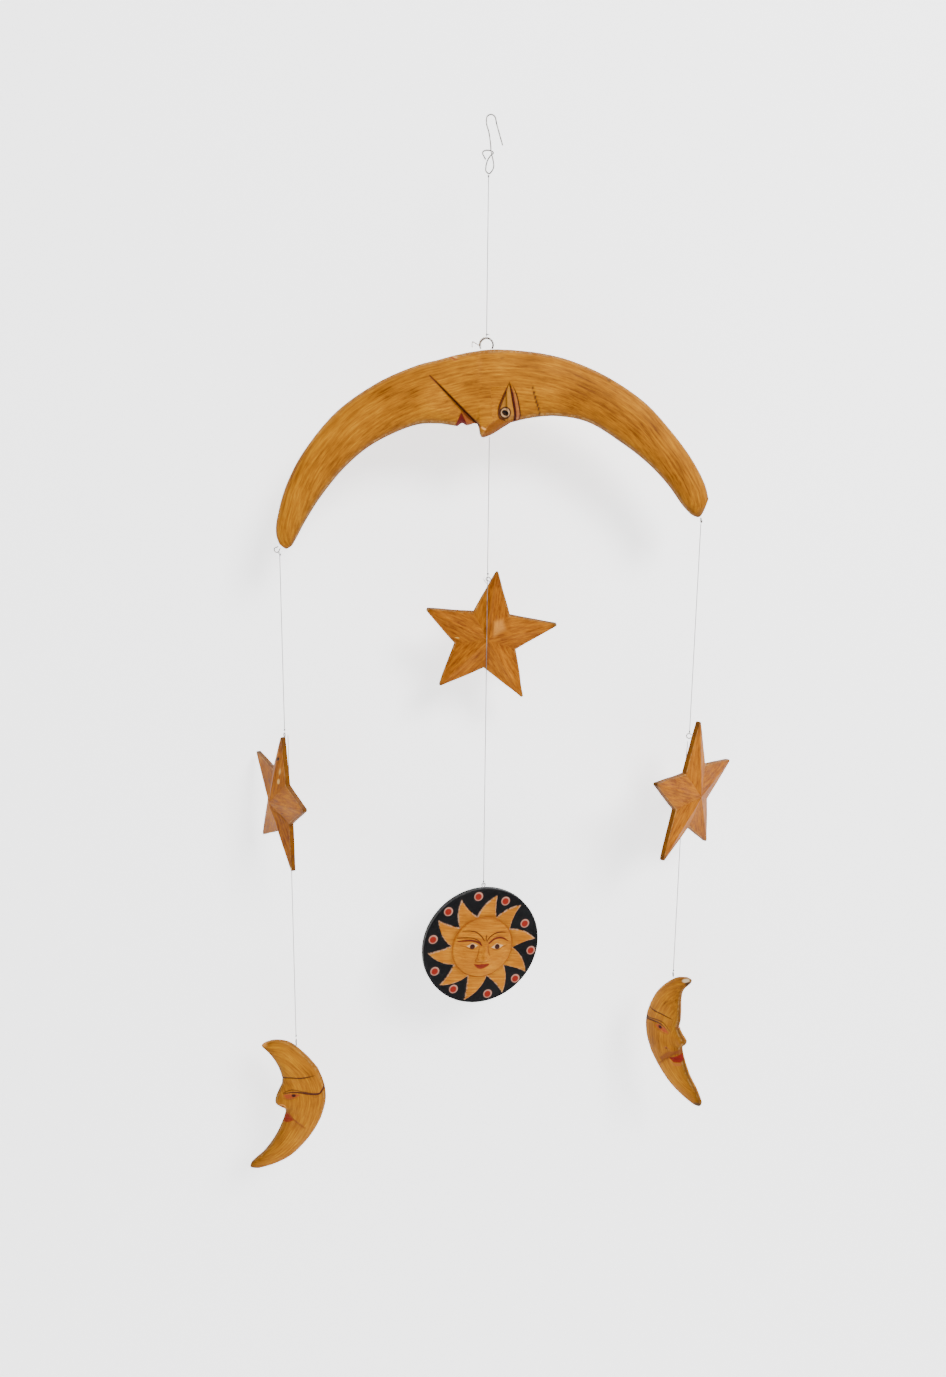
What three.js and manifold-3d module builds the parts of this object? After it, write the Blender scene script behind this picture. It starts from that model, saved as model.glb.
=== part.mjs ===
// A hanging mobile of painted, carved wood: a crescent moon carries three strings of stars,
// a sun disc and two small moons. Millimetres, +Z up, the front faces -Y.
// The origin is the middle of the wire hook's crook, where a wall screw or a ceiling pin sits.
import * as THREE from "three";
import { mergeVertices } from "three/addons/utils/BufferGeometryUtils.js";
import { ConvexGeometry } from "three/addons/geometries/ConvexGeometry.js";
import Module from "manifold-3d";

const wasm = await Module();
wasm.setup();

// ---------- driving dimensions ----------
const GAP = 0.3;                  // air left between two pieces that touch
const LINE = { diameter: 0.5, sides: 8, steps: 10 };
const HOOK_WIRE = 0.9;
const RING_WIRE = 1.3;
const EYE_WIRE = 0.7;
const EYE_STEPS = 17;
const TAIL_WIRE = 0.6;

// The plumb lines: where each hanging line runs, seen from the front.
const PLUMB = {
  top: -1.2, center: 1.7, leftUpper: -152.2, leftLower: -149.7, rightUpper: 157.9, rightLower: 155.3,
};

// A crescent's form: how far it swells to the front and the back, and how square it is there.
const MOON = { front: 10.5, back: 8.5, frontRoundness: 2.5, backRoundness: 3.4, fullWidth: 44 };
const MOON_TOP = -149.6;
const RING = { x: PLUMB.top, z: -146.6, radius: 4.7 };
const HOOK_BOTTOM = -33.8;

const STAR_EDGE = 3.4;            // thickness of a star along its outline
const STAR_TIP = 2.0;             // width of a star's blunt tip
const STARS = {
  center: { at: [2.7, 8.0, -357.2], turn: 0, lean: 10, roll: 6.7, relief: 7.0,
    arms: [50.6, 52.0, 55.4, 53.6, 50.7], notches: [24.0, 23.4, 25.2, 26.2, 23.0],
    eye: { foot: [-4.0, 0, 44.0], out: [-0.93, 0, 0.37], across: [0.37, 0, 0.93],
      radius: 1.5, rise: 1.9 } },
  left: { at: [-158.0, 7.0, -488.8], turn: -60, lean: 0, roll: 10, relief: 8.2,
    arms: [54.0, 52.8, 55.2, 57.6, 57.4], notches: [25.2, 26.3, 26.6, 26.4, 26.0],
    eye: { foot: [0.4, 1.0, 54.35], out: [0, 0, 1], across: [1, 0, 0],
      radius: 1.5, rise: 1.9 } },
  right: { at: [161.4, 1.0, -478.2], turn: 49, lean: 2, roll: 2.7, relief: 8.2,
    arms: [58.1, 59.4, 55.0, 56.7, 57.6], notches: [27.0, 27.0, 26.6, 25.2, 24.0],
    eye: { foot: [-3.2, 2.1, 46.3], out: [-0.5, 0.87, 0], across: [0, 0, 1],
      radius: 1.9, rise: 2.5 } },
};

const SUN = { at: [0.0, -1.6, -604.8], turn: 18.4, radius: 48.2, thickness: 6.0, rim: 0.8,
  rays: 10, rayTip: 45.0, rayFoot: 26.0, firstRay: 15.8, swirl: 7.0, rayHeight: 1.0,
  face: 25.0, faceHeight: 3.4, faceEdge: 1.7, faceRoll: 10.0 };

const SMALL_MOON = { front: 5.4, back: 4.0, frontRoundness: 2.3, backRoundness: 3.2, fullWidth: 25 };
const CUT_CLEAR = -30;            // a carving cut reaches this far in front of the wood
const MOON_LEFT = { at: [PLUMB.leftLower, 0, -691.3], turn: 0 };
const MOON_RIGHT = { at: [155.7, 0, -632.0], turn: -44 };

// ---------- materials ----------
const paint = (name, color, roughness, metalness = 0) =>
  Object.assign(new THREE.MeshStandardMaterial({ color, roughness, metalness }), { name });
const OCHRE = paint("ochre_paint", 0xb57a22, 0.55);
const BLACK = paint("black_paint", 0x17181a, 0.45);
const WIRE = paint("steel_wire", 0x6d6e70, 0.4, 0.9);
const NYLON = paint("nylon_line", 0xd2d2ce, 0.35);

// ---------- small helpers ----------
const DEG = Math.PI / 180;
const v3 = (x, y, z) => new THREE.Vector3(x, y, z);
const lerp = THREE.MathUtils.lerp;

/** A closed, indexed copy of a geometry, holding positions only. */
function welded(geometry) {
  const bare = geometry.clone();
  bare.deleteAttribute("normal");
  bare.deleteAttribute("uv");
  return mergeVertices(bare, 1e-4);
}

/** The geometry as a solid that can be cut and joined. */
function solid(geometry) {
  const mesh = welded(geometry);
  return new wasm.Manifold(new wasm.Mesh({
    numProp: 3,
    vertProperties: new Float32Array(mesh.attributes.position.array),
    triVerts: new Uint32Array(mesh.index.array),
  }));
}

/** The solid as a geometry again. */
function geometryOf(body) {
  const mesh = body.getMesh();
  const geometry = new THREE.BufferGeometry();
  geometry.setAttribute("position", new THREE.BufferAttribute(mesh.vertProperties.slice(), 3));
  geometry.setIndex(new THREE.BufferAttribute(mesh.triVerts.slice(), 1));
  geometry.computeVertexNormals();
  return geometry;
}

/** A round wire or line along a smooth curve through the given points. */
function wire(points, diameter, steps, sides = 8, tension = 0.5) {
  const section = new THREE.Shape();
  section.absarc(0, 0, diameter / 2, 0, 2 * Math.PI);
  const extrudePath = new THREE.CatmullRomCurve3(points, false, "catmullrom", tension);
  const options = { steps, extrudePath, bevelEnabled: false, curveSegments: sides / 2 };
  return new THREE.ExtrudeGeometry(section, options);
}

/** A closed geometry from corner points and triangles, turned so that its faces point out. */
function shell(points, faces) {
  const triple = ([a, b, c]) => points[a].dot(points[b].clone().cross(points[c]));
  const volume = faces.reduce((sum, face) => sum + triple(face), 0);
  if (volume < 0) faces.forEach((face) => face.reverse());
  const geometry = new THREE.BufferGeometry().setFromPoints(points);
  geometry.setIndex(faces.flat());
  geometry.computeVertexNormals();
  return geometry;
}

/** Skin over rings of equally many points, closed by a pole at each end. */
function loft(firstPole, rings, lastPole) {
  const around = rings[0].length;
  const points = [firstPole, ...rings.flat(), lastPole];
  const at = (ring, k) => 1 + ring * around + (k % around);
  const last = points.length - 1;
  const faces = [];
  for (let k = 0; k < around; k++) {
    faces.push([0, at(0, k + 1), at(0, k)]);
    faces.push([last, at(rings.length - 1, k), at(rings.length - 1, k + 1)]);
    for (let ring = 0; ring < rings.length - 1; ring++) {
      faces.push([at(ring, k), at(ring + 1, k + 1), at(ring + 1, k)]);
      faces.push([at(ring, k), at(ring, k + 1), at(ring + 1, k + 1)]);
    }
  }
  return shell(points, faces);
}

// ---------- crescents ----------
// A crescent is given by pairs of points, one on its outer and one on its inner edge, from
// tip to tip. A pair is [outer x, outer z, inner x, inner z]; boxiness tells how square the
// carving is towards the inner edge there.

/** Pairs in between the given ones, along smooth edges. */
function smoothPairs(pairs, between) {
  const outer = new THREE.SplineCurve(pairs.map((p) => new THREE.Vector2(p[0], p[1])));
  const inner = new THREE.SplineCurve(pairs.map((p) => new THREE.Vector2(p[2], p[3])));
  const count = (pairs.length - 1) * between;
  return Array.from({ length: count + 1 }, (_, k) => {
    const o = outer.getPoint(k / count);
    const i = inner.getPoint(k / count);
    return [o.x, o.y, i.x, i.y];
  });
}

/** One closed section of a crescent: rounded like a worn cushion, front at -Y. */
function cushionSection(pair, form, boxiness, half = 8) {
  const [ox, oz, ix, iz] = pair;
  const width = Math.hypot(ox - ix, oz - iz);
  const swell = Math.min(1, (width / form.fullWidth) ** 0.55);
  const ring = [];
  for (let k = 0; k < 2 * half; k++) {
    const turn = (k / half) * Math.PI;
    const across = (1 - Math.cos(turn)) / 2;
    const isFront = k <= half;
    const bulge = Math.abs(2 * across - 1);
    const frontRoundness = across > 0.5 ? boxiness : form.frontRoundness;
    const roundness = isFront ? frontRoundness : form.backRoundness;
    const height = (1 - bulge ** roundness) ** (1 / roundness) * swell;
    const y = isFront ? -form.front * height : form.back * height;
    ring.push(v3(lerp(ox, ix, across), y, lerp(oz, iz, across)));
  }
  return ring;
}

/** A whole crescent from its tips and pairs; every pair may carry its own boxiness. */
function crescent(firstTip, pairs, lastTip, form) {
  const rings = pairs.map((p) => cushionSection(p, form, p[4] ?? form.frontRoundness));
  return loft(v3(firstTip[0], 0, firstTip[1]), rings, v3(lastTip[0], 0, lastTip[1]));
}

/**
 * A wedge that carves a step: its wall stands on the line from a to b, and its floor rises
 * from the foot of the wall back to the surface at the given reach, on the left of a to b
 * when side is 1 and on the right when it is -1.
 */
function stepCutter(a, b, depthA, depthB, reach, surface, side) {
  const along = new THREE.Vector2(b[0] - a[0], b[1] - a[1]).normalize();
  const off = new THREE.Vector2(-along.y, along.x).multiplyScalar(side * reach);
  const corners = [];
  for (const [p, floor] of [[a, depthA], [b, depthB]]) {
    corners.push(v3(p[0], floor, p[1]), v3(p[0], CUT_CLEAR, p[1]));
    corners.push(v3(p[0] + off.x, surface, p[1] + off.y), v3(p[0] + off.x, CUT_CLEAR, p[1] + off.y));
  }
  return new ConvexGeometry(corners);
}

function bigMoon() {
  const leftHorn = smoothPairs([
    [-152.2, -288.4, -142.8, -289.4], [-154.3, -281.0, -138.6, -282.2], [-153.2, -269.5, -132.2, -270.7],
    [-146.2, -246.5, -120.7, -253.4], [-132.6, -221.6, -104.6, -234.1], [-109.0, -194.0, -86.7, -218.7],
    [-80.0, -173.8, -67.0, -208.0], [-53.3, -161.9, -49.0, -201.8], [-36.0, -157.2, -33.0, -201.2],
  ], 2);
  const face = [
    [-26.0, -154.4, -21.4, -202.9, 2.3], [-19.0, -152.8, -18.0, -200.6, 2.3],
    [-14.5, -151.9, -14.6, -202.3, 2.3], [-8.0, -150.8, -7.2, -201.0, 2.6],
    [-4.0, -150.2, -4.4, -210.1, 4.6], [1.5, -149.7, 1.4, -209.3, 4.0], [7.0, -149.5, 6.2, -206.8, 3.4],
  ];
  const rightHorn = smoothPairs([
    [17.0, -149.8, 17.0, -199.9], [38.0, -151.9, 33.0, -196.3], [60.0, -157.0, 52.0, -195.2],
    [86.0, -167.8, 74.0, -199.6], [112.0, -184.2, 98.0, -213.6], [131.0, -202.8, 117.0, -227.5],
    [147.0, -222.0, 132.0, -242.2], [158.2, -240.2, 143.5, -257.0], [162.3, -252.4, 150.0, -263.6],
  ], 2);
  let body = solid(crescent([-147.2, -292.0], [...leftHorn, ...face, ...rightHorn], [157.0, -265.4], MOON));
  const noseLine = [[-42.0, -166.6], [-3.2, -211.0]];
  body = body.subtract(solid(stepCutter(noseLine[0], noseLine[1], -10.6, -4.4, 30, -10.6, -1)));
  const browLine = [[13.0, -176.0], [15.0, -203.0]];
  body = body.subtract(solid(stepCutter(browLine[0], browLine[1], -10.2, -5.2, 11, -9.6, -1)));
  return geometryOf(body);
}

function smallMoonLeft() {
  const upper = smoothPairs([
    [-24.4, -1.6, -27.4, -6.4], [-16.2, 0.1, -22.4, -11.4], [-5.0, -2.2, -17.6, -18.4],
    [7.5, -13.0, -14.0, -26.4], [17.2, -25.0, -12.2, -33.6],
  ], 2);
  const face = [
    [20.6, -33.6, -12.6, -38.6], [22.4, -40.2, -15.4, -44.6], [23.3, -47.2, -18.2, -52.0],
    [23.3, -52.6, -17.6, -57.4], [22.6, -57.4, -11.4, -61.0], [21.6, -61.8, -10.2, -64.4, 2.1],
  ];
  const lower = smoothPairs([
    [19.1, -69.8, -12.3, -71.4], [13.8, -80.4, -17.0, -82.6], [5.9, -91.9, -23.2, -93.6],
    [-6.0, -104.6, -30.2, -102.9], [-20.0, -112.9, -35.6, -108.0], [-33.0, -117.6, -40.0, -112.4],
  ], 2);
  let body = solid(crescent([-28.2, -4.2], [...upper, ...face, ...lower], [-41.0, -117.0], SMALL_MOON));
  body = body.subtract(solid(stepCutter([-16.0, -57.8], [6.0, -76.0], -3.0, -5.6, 14, -5.6, -1)));
  return geometryOf(body);
}

function smallMoonRight() {
  const upper = smoothPairs([
    [12.0, 4.5, 15.2, -0.6], [2.8, 1.0, 9.6, -8.0], [-6.6, -7.2, 7.9, -16.2],
    [-14.6, -17.6, 8.2, -25.6], [-20.0, -29.0, 8.4, -34.6],
  ], 2);
  const face = [
    [-22.6, -37.4, 7.2, -41.2], [-23.6, -43.6, 10.8, -46.4], [-23.7, -49.4, 15.0, -50.6],
    [-23.2, -54.0, 14.0, -54.2], [-22.2, -58.6, 11.4, -57.4], [-20.8, -63.0, 12.6, -63.6, 2.1],
  ];
  const lower = smoothPairs([
    [-17.2, -70.9, 15.6, -71.1], [-10.8, -79.0, 19.7, -79.1], [-2.6, -87.1, 23.4, -84.2],
    [6.5, -93.8, 27.0, -88.6], [17.2, -98.8, 30.0, -93.4], [25.6, -101.4, 32.2, -97.4],
  ], 2);
  let body = solid(crescent([16.8, 3.6], [...upper, ...face, ...lower], [31.0, -101.0], SMALL_MOON));
  body = body.subtract(solid(stepCutter([14.6, -54.6], [-6.0, -76.0], -3.0, -5.6, 14, -5.6, 1)));
  return geometryOf(body);
}

// ---------- stars ----------
/** A five-armed star: flat back, straight ridges from a raised middle to blunt tips. */
function star({ arms, notches, relief }) {
  const half = STAR_EDGE / 2;
  const outline = [];
  arms.forEach((arm, k) => {
    const tip = 72 * k * DEG;
    const side = Math.atan2(STAR_TIP / 2, arm);
    const reach = Math.hypot(arm, STAR_TIP / 2);
    for (const a of [tip - side, tip + side]) outline.push([reach * Math.sin(a), reach * Math.cos(a)]);
    const notch = (72 * k + 36) * DEG;
    outline.push([notches[k] * Math.sin(notch), notches[k] * Math.cos(notch)]);
  });
  const count = outline.length;
  const points = outline.map(([x, z]) => v3(x, half, z));
  points.push(...outline.map(([x, z]) => v3(x, -half, z)));
  const back = points.push(v3(0, half, 0)) - 1;
  const apex = points.push(v3(0, -half - relief, 0)) - 1;
  const ridge = arms.map((arm, k) =>
    points.push(v3(arm * Math.sin(72 * k * DEG), -half - STAR_TIP / 2, arm * Math.cos(72 * k * DEG))) - 1);
  const faces = [];
  for (let k = 0; k < count; k++) {
    const next = (k + 1) % count;
    faces.push([back, k, next]);
    faces.push([k, count + next, next], [k, count + k, count + next]);
    if (k % 3 === 0) {
      const end = ridge[k / 3];
      faces.push([apex, end, count + k], [apex, count + next, end], [end, count + next, count + k]);
    } else {
      faces.push([apex, count + next, count + k]);
    }
  }
  return shell(points, faces);
}

// ---------- sun disc ----------
/** Outline of the ten swirled rays: a bowed long edge and a nearly straight short edge. */
function raysShape() {
  const step = 360 / SUN.rays;
  const at = (radius, degrees) =>
    new THREE.Vector2(radius * Math.sin(degrees * DEG), radius * Math.cos(degrees * DEG));
  const shape = new THREE.Shape();
  for (let k = 0; k < SUN.rays; k++) {
    const tip = SUN.firstRay + k * step;
    const foot = at(SUN.rayFoot, tip - SUN.swirl - step / 2);
    const nextFoot = at(SUN.rayFoot, tip - SUN.swirl + step / 2);
    const bow = at(SUN.rayTip * 0.86, tip - SUN.swirl - step * 0.16);
    const hollow = at(SUN.rayTip * 0.78, tip + step * 0.02);
    const end = at(SUN.rayTip, tip);
    if (k === 0) shape.moveTo(foot.x, foot.y);
    shape.quadraticCurveTo(bow.x, bow.y, end.x, end.y);
    shape.quadraticCurveTo(hollow.x, hollow.y, nextFoot.x, nextFoot.y);
  }
  return shape;
}

/** Turns a geometry built on the XY plane, facing +Z, to face -Y at the given front level. */
const faceFront = (geometry, level) => geometry.rotateX(Math.PI / 2).translate(0, level, 0);

function sunDisc() {
  const half = SUN.thickness / 2;
  const profile = [
    [0, -half], [SUN.radius - SUN.rim, -half], [SUN.radius, -half + SUN.rim], [SUN.radius, half - SUN.rim],
    [SUN.radius - SUN.rim, half], [0, half],
  ].map(([r, h]) => new THREE.Vector2(r, h));
  let body = solid(new THREE.LatheGeometry(profile, 64));
  const rooted = 1;               // how deep an added form reaches into the disc
  const rayOptions = { depth: SUN.rayHeight + rooted, bevelEnabled: false, curveSegments: 5 };
  const rays = new THREE.ExtrudeGeometry(raysShape(), rayOptions);
  body = body.add(solid(faceFront(rays, -half + rooted)));
  const dome = [
    [0, -rooted], [SUN.face, -rooted], [SUN.face, SUN.faceEdge],
    [SUN.face * 0.86, lerp(SUN.faceEdge, SUN.faceHeight, 0.5)],
    [SUN.face * 0.5, lerp(SUN.faceEdge, SUN.faceHeight, 0.9)], [0, SUN.faceHeight],
  ].map(([r, h]) => new THREE.Vector2(r, h));
  const face = new THREE.LatheGeometry(dome, 40).rotateX(Math.PI).translate(0, -half, 0);
  body = body.add(solid(face));
  const roll = -SUN.faceRoll * DEG;
  const front = -half - SUN.faceHeight;
  const nose = new ConvexGeometry([
    v3(1.3, front + 0.4, 6.0), v3(-2.4, front + 0.6, -10.4), v3(5.2, front + 0.6, -10.4),
    v3(0.6, front - 1.9, -10.0), v3(2.2, front - 1.9, -10.0), v3(1.4, front + 0.6, -11.8),
  ]);
  const lips = new THREE.SphereGeometry(1, 12, 6).scale(6.2, 1.5, 2.0).translate(0.9, front + 0.7, -14.4);
  for (const feature of [nose, lips]) body = body.add(solid(feature.rotateY(-roll)));
  return geometryOf(body);
}

// ---------- wirework ----------
/** An eye of bent wire: both legs end at the wood, the loop stands out along "out". */
function wireEye({ foot, out, across, radius, rise }) {
  const turns = 9;
  const points = [];
  const at = (sideways, outwards) =>
    v3(...foot).addScaledVector(v3(...across), sideways).addScaledVector(v3(...out), outwards);
  for (let k = 0; k <= turns; k++) {
    const angle = lerp(-50, 230, k / turns) * DEG;
    points.push(at(radius * Math.cos(angle), rise + radius * Math.sin(angle)));
  }
  const leg = radius * 0.62;
  points.unshift(at(leg, 0));
  points.push(at(-leg, 0));
  return wire(points, EYE_WIRE, EYE_STEPS, 6);
}

function hookWire() {
  const y = HOOK_WIRE * 0.75;
  return wire([
    v3(8.2, 0, -15.9), v3(5.8, 0, -8.4), v3(3.8, 0, -2.0), v3(2.7, 0, 2.0), v3(0, 0, 3.5),
    v3(-2.7, 0, 2.0), v3(-3.0, 0, -2.2), v3(-1.4, 0, -7.4), v3(-0.4, 0, -12.8), v3(0.5, 0, -20.2),
    v3(1.9, 0, -26.0), v3(2.2, 0, -29.8), v3(0.6, 0, -32.8), v3(PLUMB.top, 0, HOOK_BOTTOM),
    v3(-3.1, 0, -32.0), v3(-3.0, -0.2, -29.0), v3(-1.9, -0.7, -25.4), v3(0.2, -y - 0.6, -22.6),
    v3(1.9, -0.2, -21.0), v3(0.9, y + 0.5, -19.3), v3(-1.4, 0.7, -18.9), v3(-4.0, 0.3, -19.2),
    v3(-5.5, 0, -20.6), v3(-4.6, -0.1, -22.8), v3(-3.3, -0.2, -24.9),
  ], HOOK_WIRE, 72, 8);
}

function ringWire() {
  const points = [];
  const turns = 14;
  const foot = MOON_TOP + GAP;
  for (let k = 0; k <= turns; k++) {
    const angle = lerp(-32, 212, k / turns) * DEG;
    points.push(v3(RING.x + RING.radius * Math.cos(angle), 0, RING.z + RING.radius * Math.sin(angle)));
  }
  const cut = new THREE.BoxGeometry(20, 20, 10).translate(RING.x, 0, foot - 5);
  return geometryOf(solid(wire(points, RING_WIRE, 34, 8)).subtract(solid(cut)));
}

/** Twisted ends of the thin wire that binds the ring. */
function ringTail() {
  return wire([
    v3(-6.4, -0.9, -147.4), v3(-8.6, -0.8, -145.6), v3(-10.9, -0.5, -144.2), v3(-11.4, -0.2, -145.6),
    v3(-11.3, 0, -148.6),
  ], TAIL_WIRE, 14, 6);
}

// ---------- assembly ----------
const group = new THREE.Group();

/** Adds a named mesh; place is optional: a point, and turn, lean and roll in degrees. */
function add(name, geometry, material, place) {
  const mesh = new THREE.Mesh(geometry, material);
  mesh.name = name;
  if (place) {
    mesh.position.set(...place.at);
    mesh.rotation.set((place.lean ?? 0) * DEG, (place.roll ?? 0) * DEG, (place.turn ?? 0) * DEG, "ZXY");
  }
  group.add(mesh);
  return mesh;
}

/** A hanging line, through the points of its route from top to bottom. */
const hangingLine = (name, route) =>
  add(name, wire(route.map((p) => v3(...p)), LINE.diameter, LINE.steps, LINE.sides), NYLON);

add("hanging_hook", hookWire(), WIRE);
hangingLine("line_top", [
  [PLUMB.top, 0, HOOK_BOTTOM - HOOK_WIRE / 2 - GAP],
  [PLUMB.top, 0, -90],
  [PLUMB.top, 0, RING.z + RING.radius + RING_WIRE / 2 + GAP],
]);
add("moon_ring", ringWire(), WIRE);
add("moon_ring_tail", ringTail(), WIRE);
add("crescent_moon", bigMoon(), OCHRE);
add("tip_eye_left", wireEye({
  foot: [-152.4, 0, -291.0], out: [-0.72, 0, -0.69], across: [0.69, 0, -0.72], radius: 1.9, rise: 2.6,
}), WIRE);
add("tip_eye_right", wireEye({
  foot: [157.7, 0, -266.2], out: [0.1, 0, -0.995], across: [0, 1, 0], radius: 1.5, rise: 2.2,
}), WIRE);

hangingLine("line_center_upper", [
  [PLUMB.center, 0, -209.9], [PLUMB.center, 0, -260], [PLUMB.center, 0, -309.2],
]);
hangingLine("line_center_lower", [
  [PLUMB.center, -1.2, -313.2], [PLUMB.center, -2.2, -322], [PLUMB.center, -2.2, -357],
  [PLUMB.center, -1.8, -400], [PLUMB.center, -1.6, -470], [PLUMB.center, -1.6, -551.5],
]);
hangingLine("line_left_upper", [
  [PLUMB.leftUpper, 0, -296.4], [PLUMB.leftUpper, 0, -360], [PLUMB.leftUpper, 0, -430.2],
]);
hangingLine("line_left_lower", [
  [PLUMB.leftLower, 0, -434.2], [PLUMB.leftLower, 0, -560], [PLUMB.leftLower, 0, -687.6],
]);
hangingLine("line_right_upper", [
  [PLUMB.rightUpper, 0, -270.8], [PLUMB.rightUpper, 0, -350], [PLUMB.rightUpper, 0, -428.4],
]);
hangingLine("line_right_lower", [
  [157.0, 0, -435.6], [156.2, 0, -452], [PLUMB.rightLower, 0, -490], [PLUMB.rightLower, 0, -560],
  [PLUMB.rightLower, 0, -626.2],
]);

for (const [side, form] of Object.entries(STARS)) {
  add(`star_${side}`, star(form), OCHRE, form);
  add(`star_eye_${side}`, wireEye(form.eye), WIRE, form);
}

add("sun_disc", sunDisc(), BLACK, SUN);
add("disc_eye", wireEye({
  foot: [PLUMB.center, -1.6, -556.2], out: [0, 0, 1], across: [0.95, 0.31, 0], radius: 1.4, rise: 2.4,
}), WIRE);

add("moon_left", smallMoonLeft(), OCHRE, MOON_LEFT);
add("moon_right", smallMoonRight(), OCHRE, MOON_RIGHT);
add("moon_eye_left", wireEye({
  foot: [PLUMB.leftLower, 0, -696.4], out: [0, 0, 1], across: [0, 1, 0], radius: 1.4, rise: 4.6,
}), WIRE);
add("moon_eye_right", wireEye({
  foot: [PLUMB.rightLower, 0, -631.4], out: [0, 0, 1], across: [0, 1, 0], radius: 1.4, rise: 2.2,
}), WIRE);

export default group;
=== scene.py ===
"""A hanging mobile of painted, carved wood: crescent moon, stars, sun disc and two small moons."""

import logging
import math
from dataclasses import dataclass, field
from enum import Enum
from typing import Sequence

import bpy
import numpy as np
from mathutils import Matrix

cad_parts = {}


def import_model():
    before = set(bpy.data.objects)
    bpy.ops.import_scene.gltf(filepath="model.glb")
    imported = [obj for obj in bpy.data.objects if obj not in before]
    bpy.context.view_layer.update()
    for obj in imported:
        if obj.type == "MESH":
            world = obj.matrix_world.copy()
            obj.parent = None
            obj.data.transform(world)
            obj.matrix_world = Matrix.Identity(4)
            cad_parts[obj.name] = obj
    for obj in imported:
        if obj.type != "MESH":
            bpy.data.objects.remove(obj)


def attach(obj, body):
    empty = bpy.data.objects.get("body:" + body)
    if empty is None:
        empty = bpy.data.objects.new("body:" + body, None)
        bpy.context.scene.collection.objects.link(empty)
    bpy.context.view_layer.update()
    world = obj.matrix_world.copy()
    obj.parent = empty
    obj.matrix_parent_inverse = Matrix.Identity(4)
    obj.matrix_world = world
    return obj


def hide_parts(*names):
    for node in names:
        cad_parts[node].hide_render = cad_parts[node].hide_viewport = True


logging.basicConfig(level=logging.INFO, format="%(message)s")
log = logging.getLogger("mobile")

MM = 0.001
TAPER = 0.3
SWELL_POWER = 0.55
WORN_REACH = 4.5
CAP_STEPS = 12
CAP_ROUNDNESS = 0.68
RAY_STEP = 36
BODY = "root"
Point = tuple[float, float, float]
Spot = tuple[float, float]
Rgb = tuple[int, int, int]
Grid = np.ndarray
Socket = bpy.types.NodeSocket
Piece = bpy.types.Object
Material = bpy.types.Material


class Slot(Enum):
    """The record's material slots."""

    OCHRE = "ochre_paint"
    BLACK = "black_paint"
    WIRE = "steel_wire"
    LINE = "nylon_line"


# ---------------------------------------------------------------- small helpers
def linear(colour: Rgb) -> tuple[float, float, float]:
    """A screen colour of 0 to 255 as linear values.

    Args:
        colour: red, green and blue.

    Returns:
        Red, green and blue, each from 0 to 1.
    """
    out = []
    for value in colour:
        c = value / 255
        out.append(c / 12.92 if c <= 0.04045 else ((c + 0.055) / 1.055) ** 2.4)
    return out[0], out[1], out[2]


def lerp(a: Grid | float, b: Grid | float, t: Grid | float) -> Grid:
    """The value a fraction t of the way from a to b."""
    return np.asarray(a + (np.asarray(b) - a) * t)


def smoothstep(low: float, high: float, value: Grid) -> Grid:
    """0 below low, 1 above high and a smooth turn between; low may be the larger."""
    t = np.clip((value - low) / (high - low), 0, 1)
    return t * t * (3 - 2 * t)


def catmull(points: Sequence[Sequence[float]], per_span: int) -> Grid:
    """A smooth curve through the points.

    Args:
        points: the points, of two or more numbers each.
        per_span: how many steps lie between two of them.

    Returns:
        An array with one row for each point of the curve.
    """
    p = np.array(points, dtype=float)
    last = len(p) - 1
    rows = []
    for k in range(last):
        p0, p1, p2, p3 = p[max(k - 1, 0)], p[k], p[k + 1], p[min(k + 2, last)]
        for t in np.arange(per_span) / per_span:
            rows.append(0.5 * (2 * p1 + (p2 - p0) * t + (2 * p0 - 5 * p1 + 4 * p2 - p3) * t**2
                               + (3 * p1 - p0 - 3 * p2 + p3) * t**3))
    rows.append(p[-1])
    return np.array(rows)


def chain_distance(x: Grid, z: Grid, chain: Grid) -> tuple[Grid, Grid]:
    """Distance from places on a surface to a chain of points.

    Args:
        x, z: where the places are.
        chain: the chain's points, one row each.

    Returns:
        The distance, and how far along the chain the nearest point lies, from 0 to 1.
    """
    best = np.full(x.shape, 1e9)
    along = np.zeros(x.shape)
    lengths = np.hypot(*np.diff(chain, axis=0).T)
    total = max(lengths.sum(), 1e-9)
    run = 0.0
    for (ax, az), (bx, bz), length in zip(chain[:-1], chain[1:], lengths):
        if length < 1e-9:
            continue
        t = np.clip(((x - ax) * (bx - ax) + (z - az) * (bz - az)) / length**2, 0, 1)
        d = np.hypot(x - ax - t * (bx - ax), z - az - t * (bz - az))
        closer = d < best
        best = np.where(closer, d, best)
        along = np.where(closer, (run + t * length) / total, along)
        run += length
    return best, along


def inside_chain(x: Grid, z: Grid, chain: Grid) -> Grid:
    """True for the places that lie inside a closed chain of points.

    Args:
        x, z: where the places are.
        chain: the corners, one row each.

    Returns:
        One truth value for each place.
    """
    inside = np.zeros(x.shape, dtype=bool)
    for (ax, az), (bx, bz) in zip(chain, np.roll(chain, -1, axis=0)):
        if az == bz:
            continue
        crosses = (az > z) != (bz > z)
        inside ^= crosses & (x < (bx - ax) * (z - az) / (bz - az) + ax)
    return inside


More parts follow.
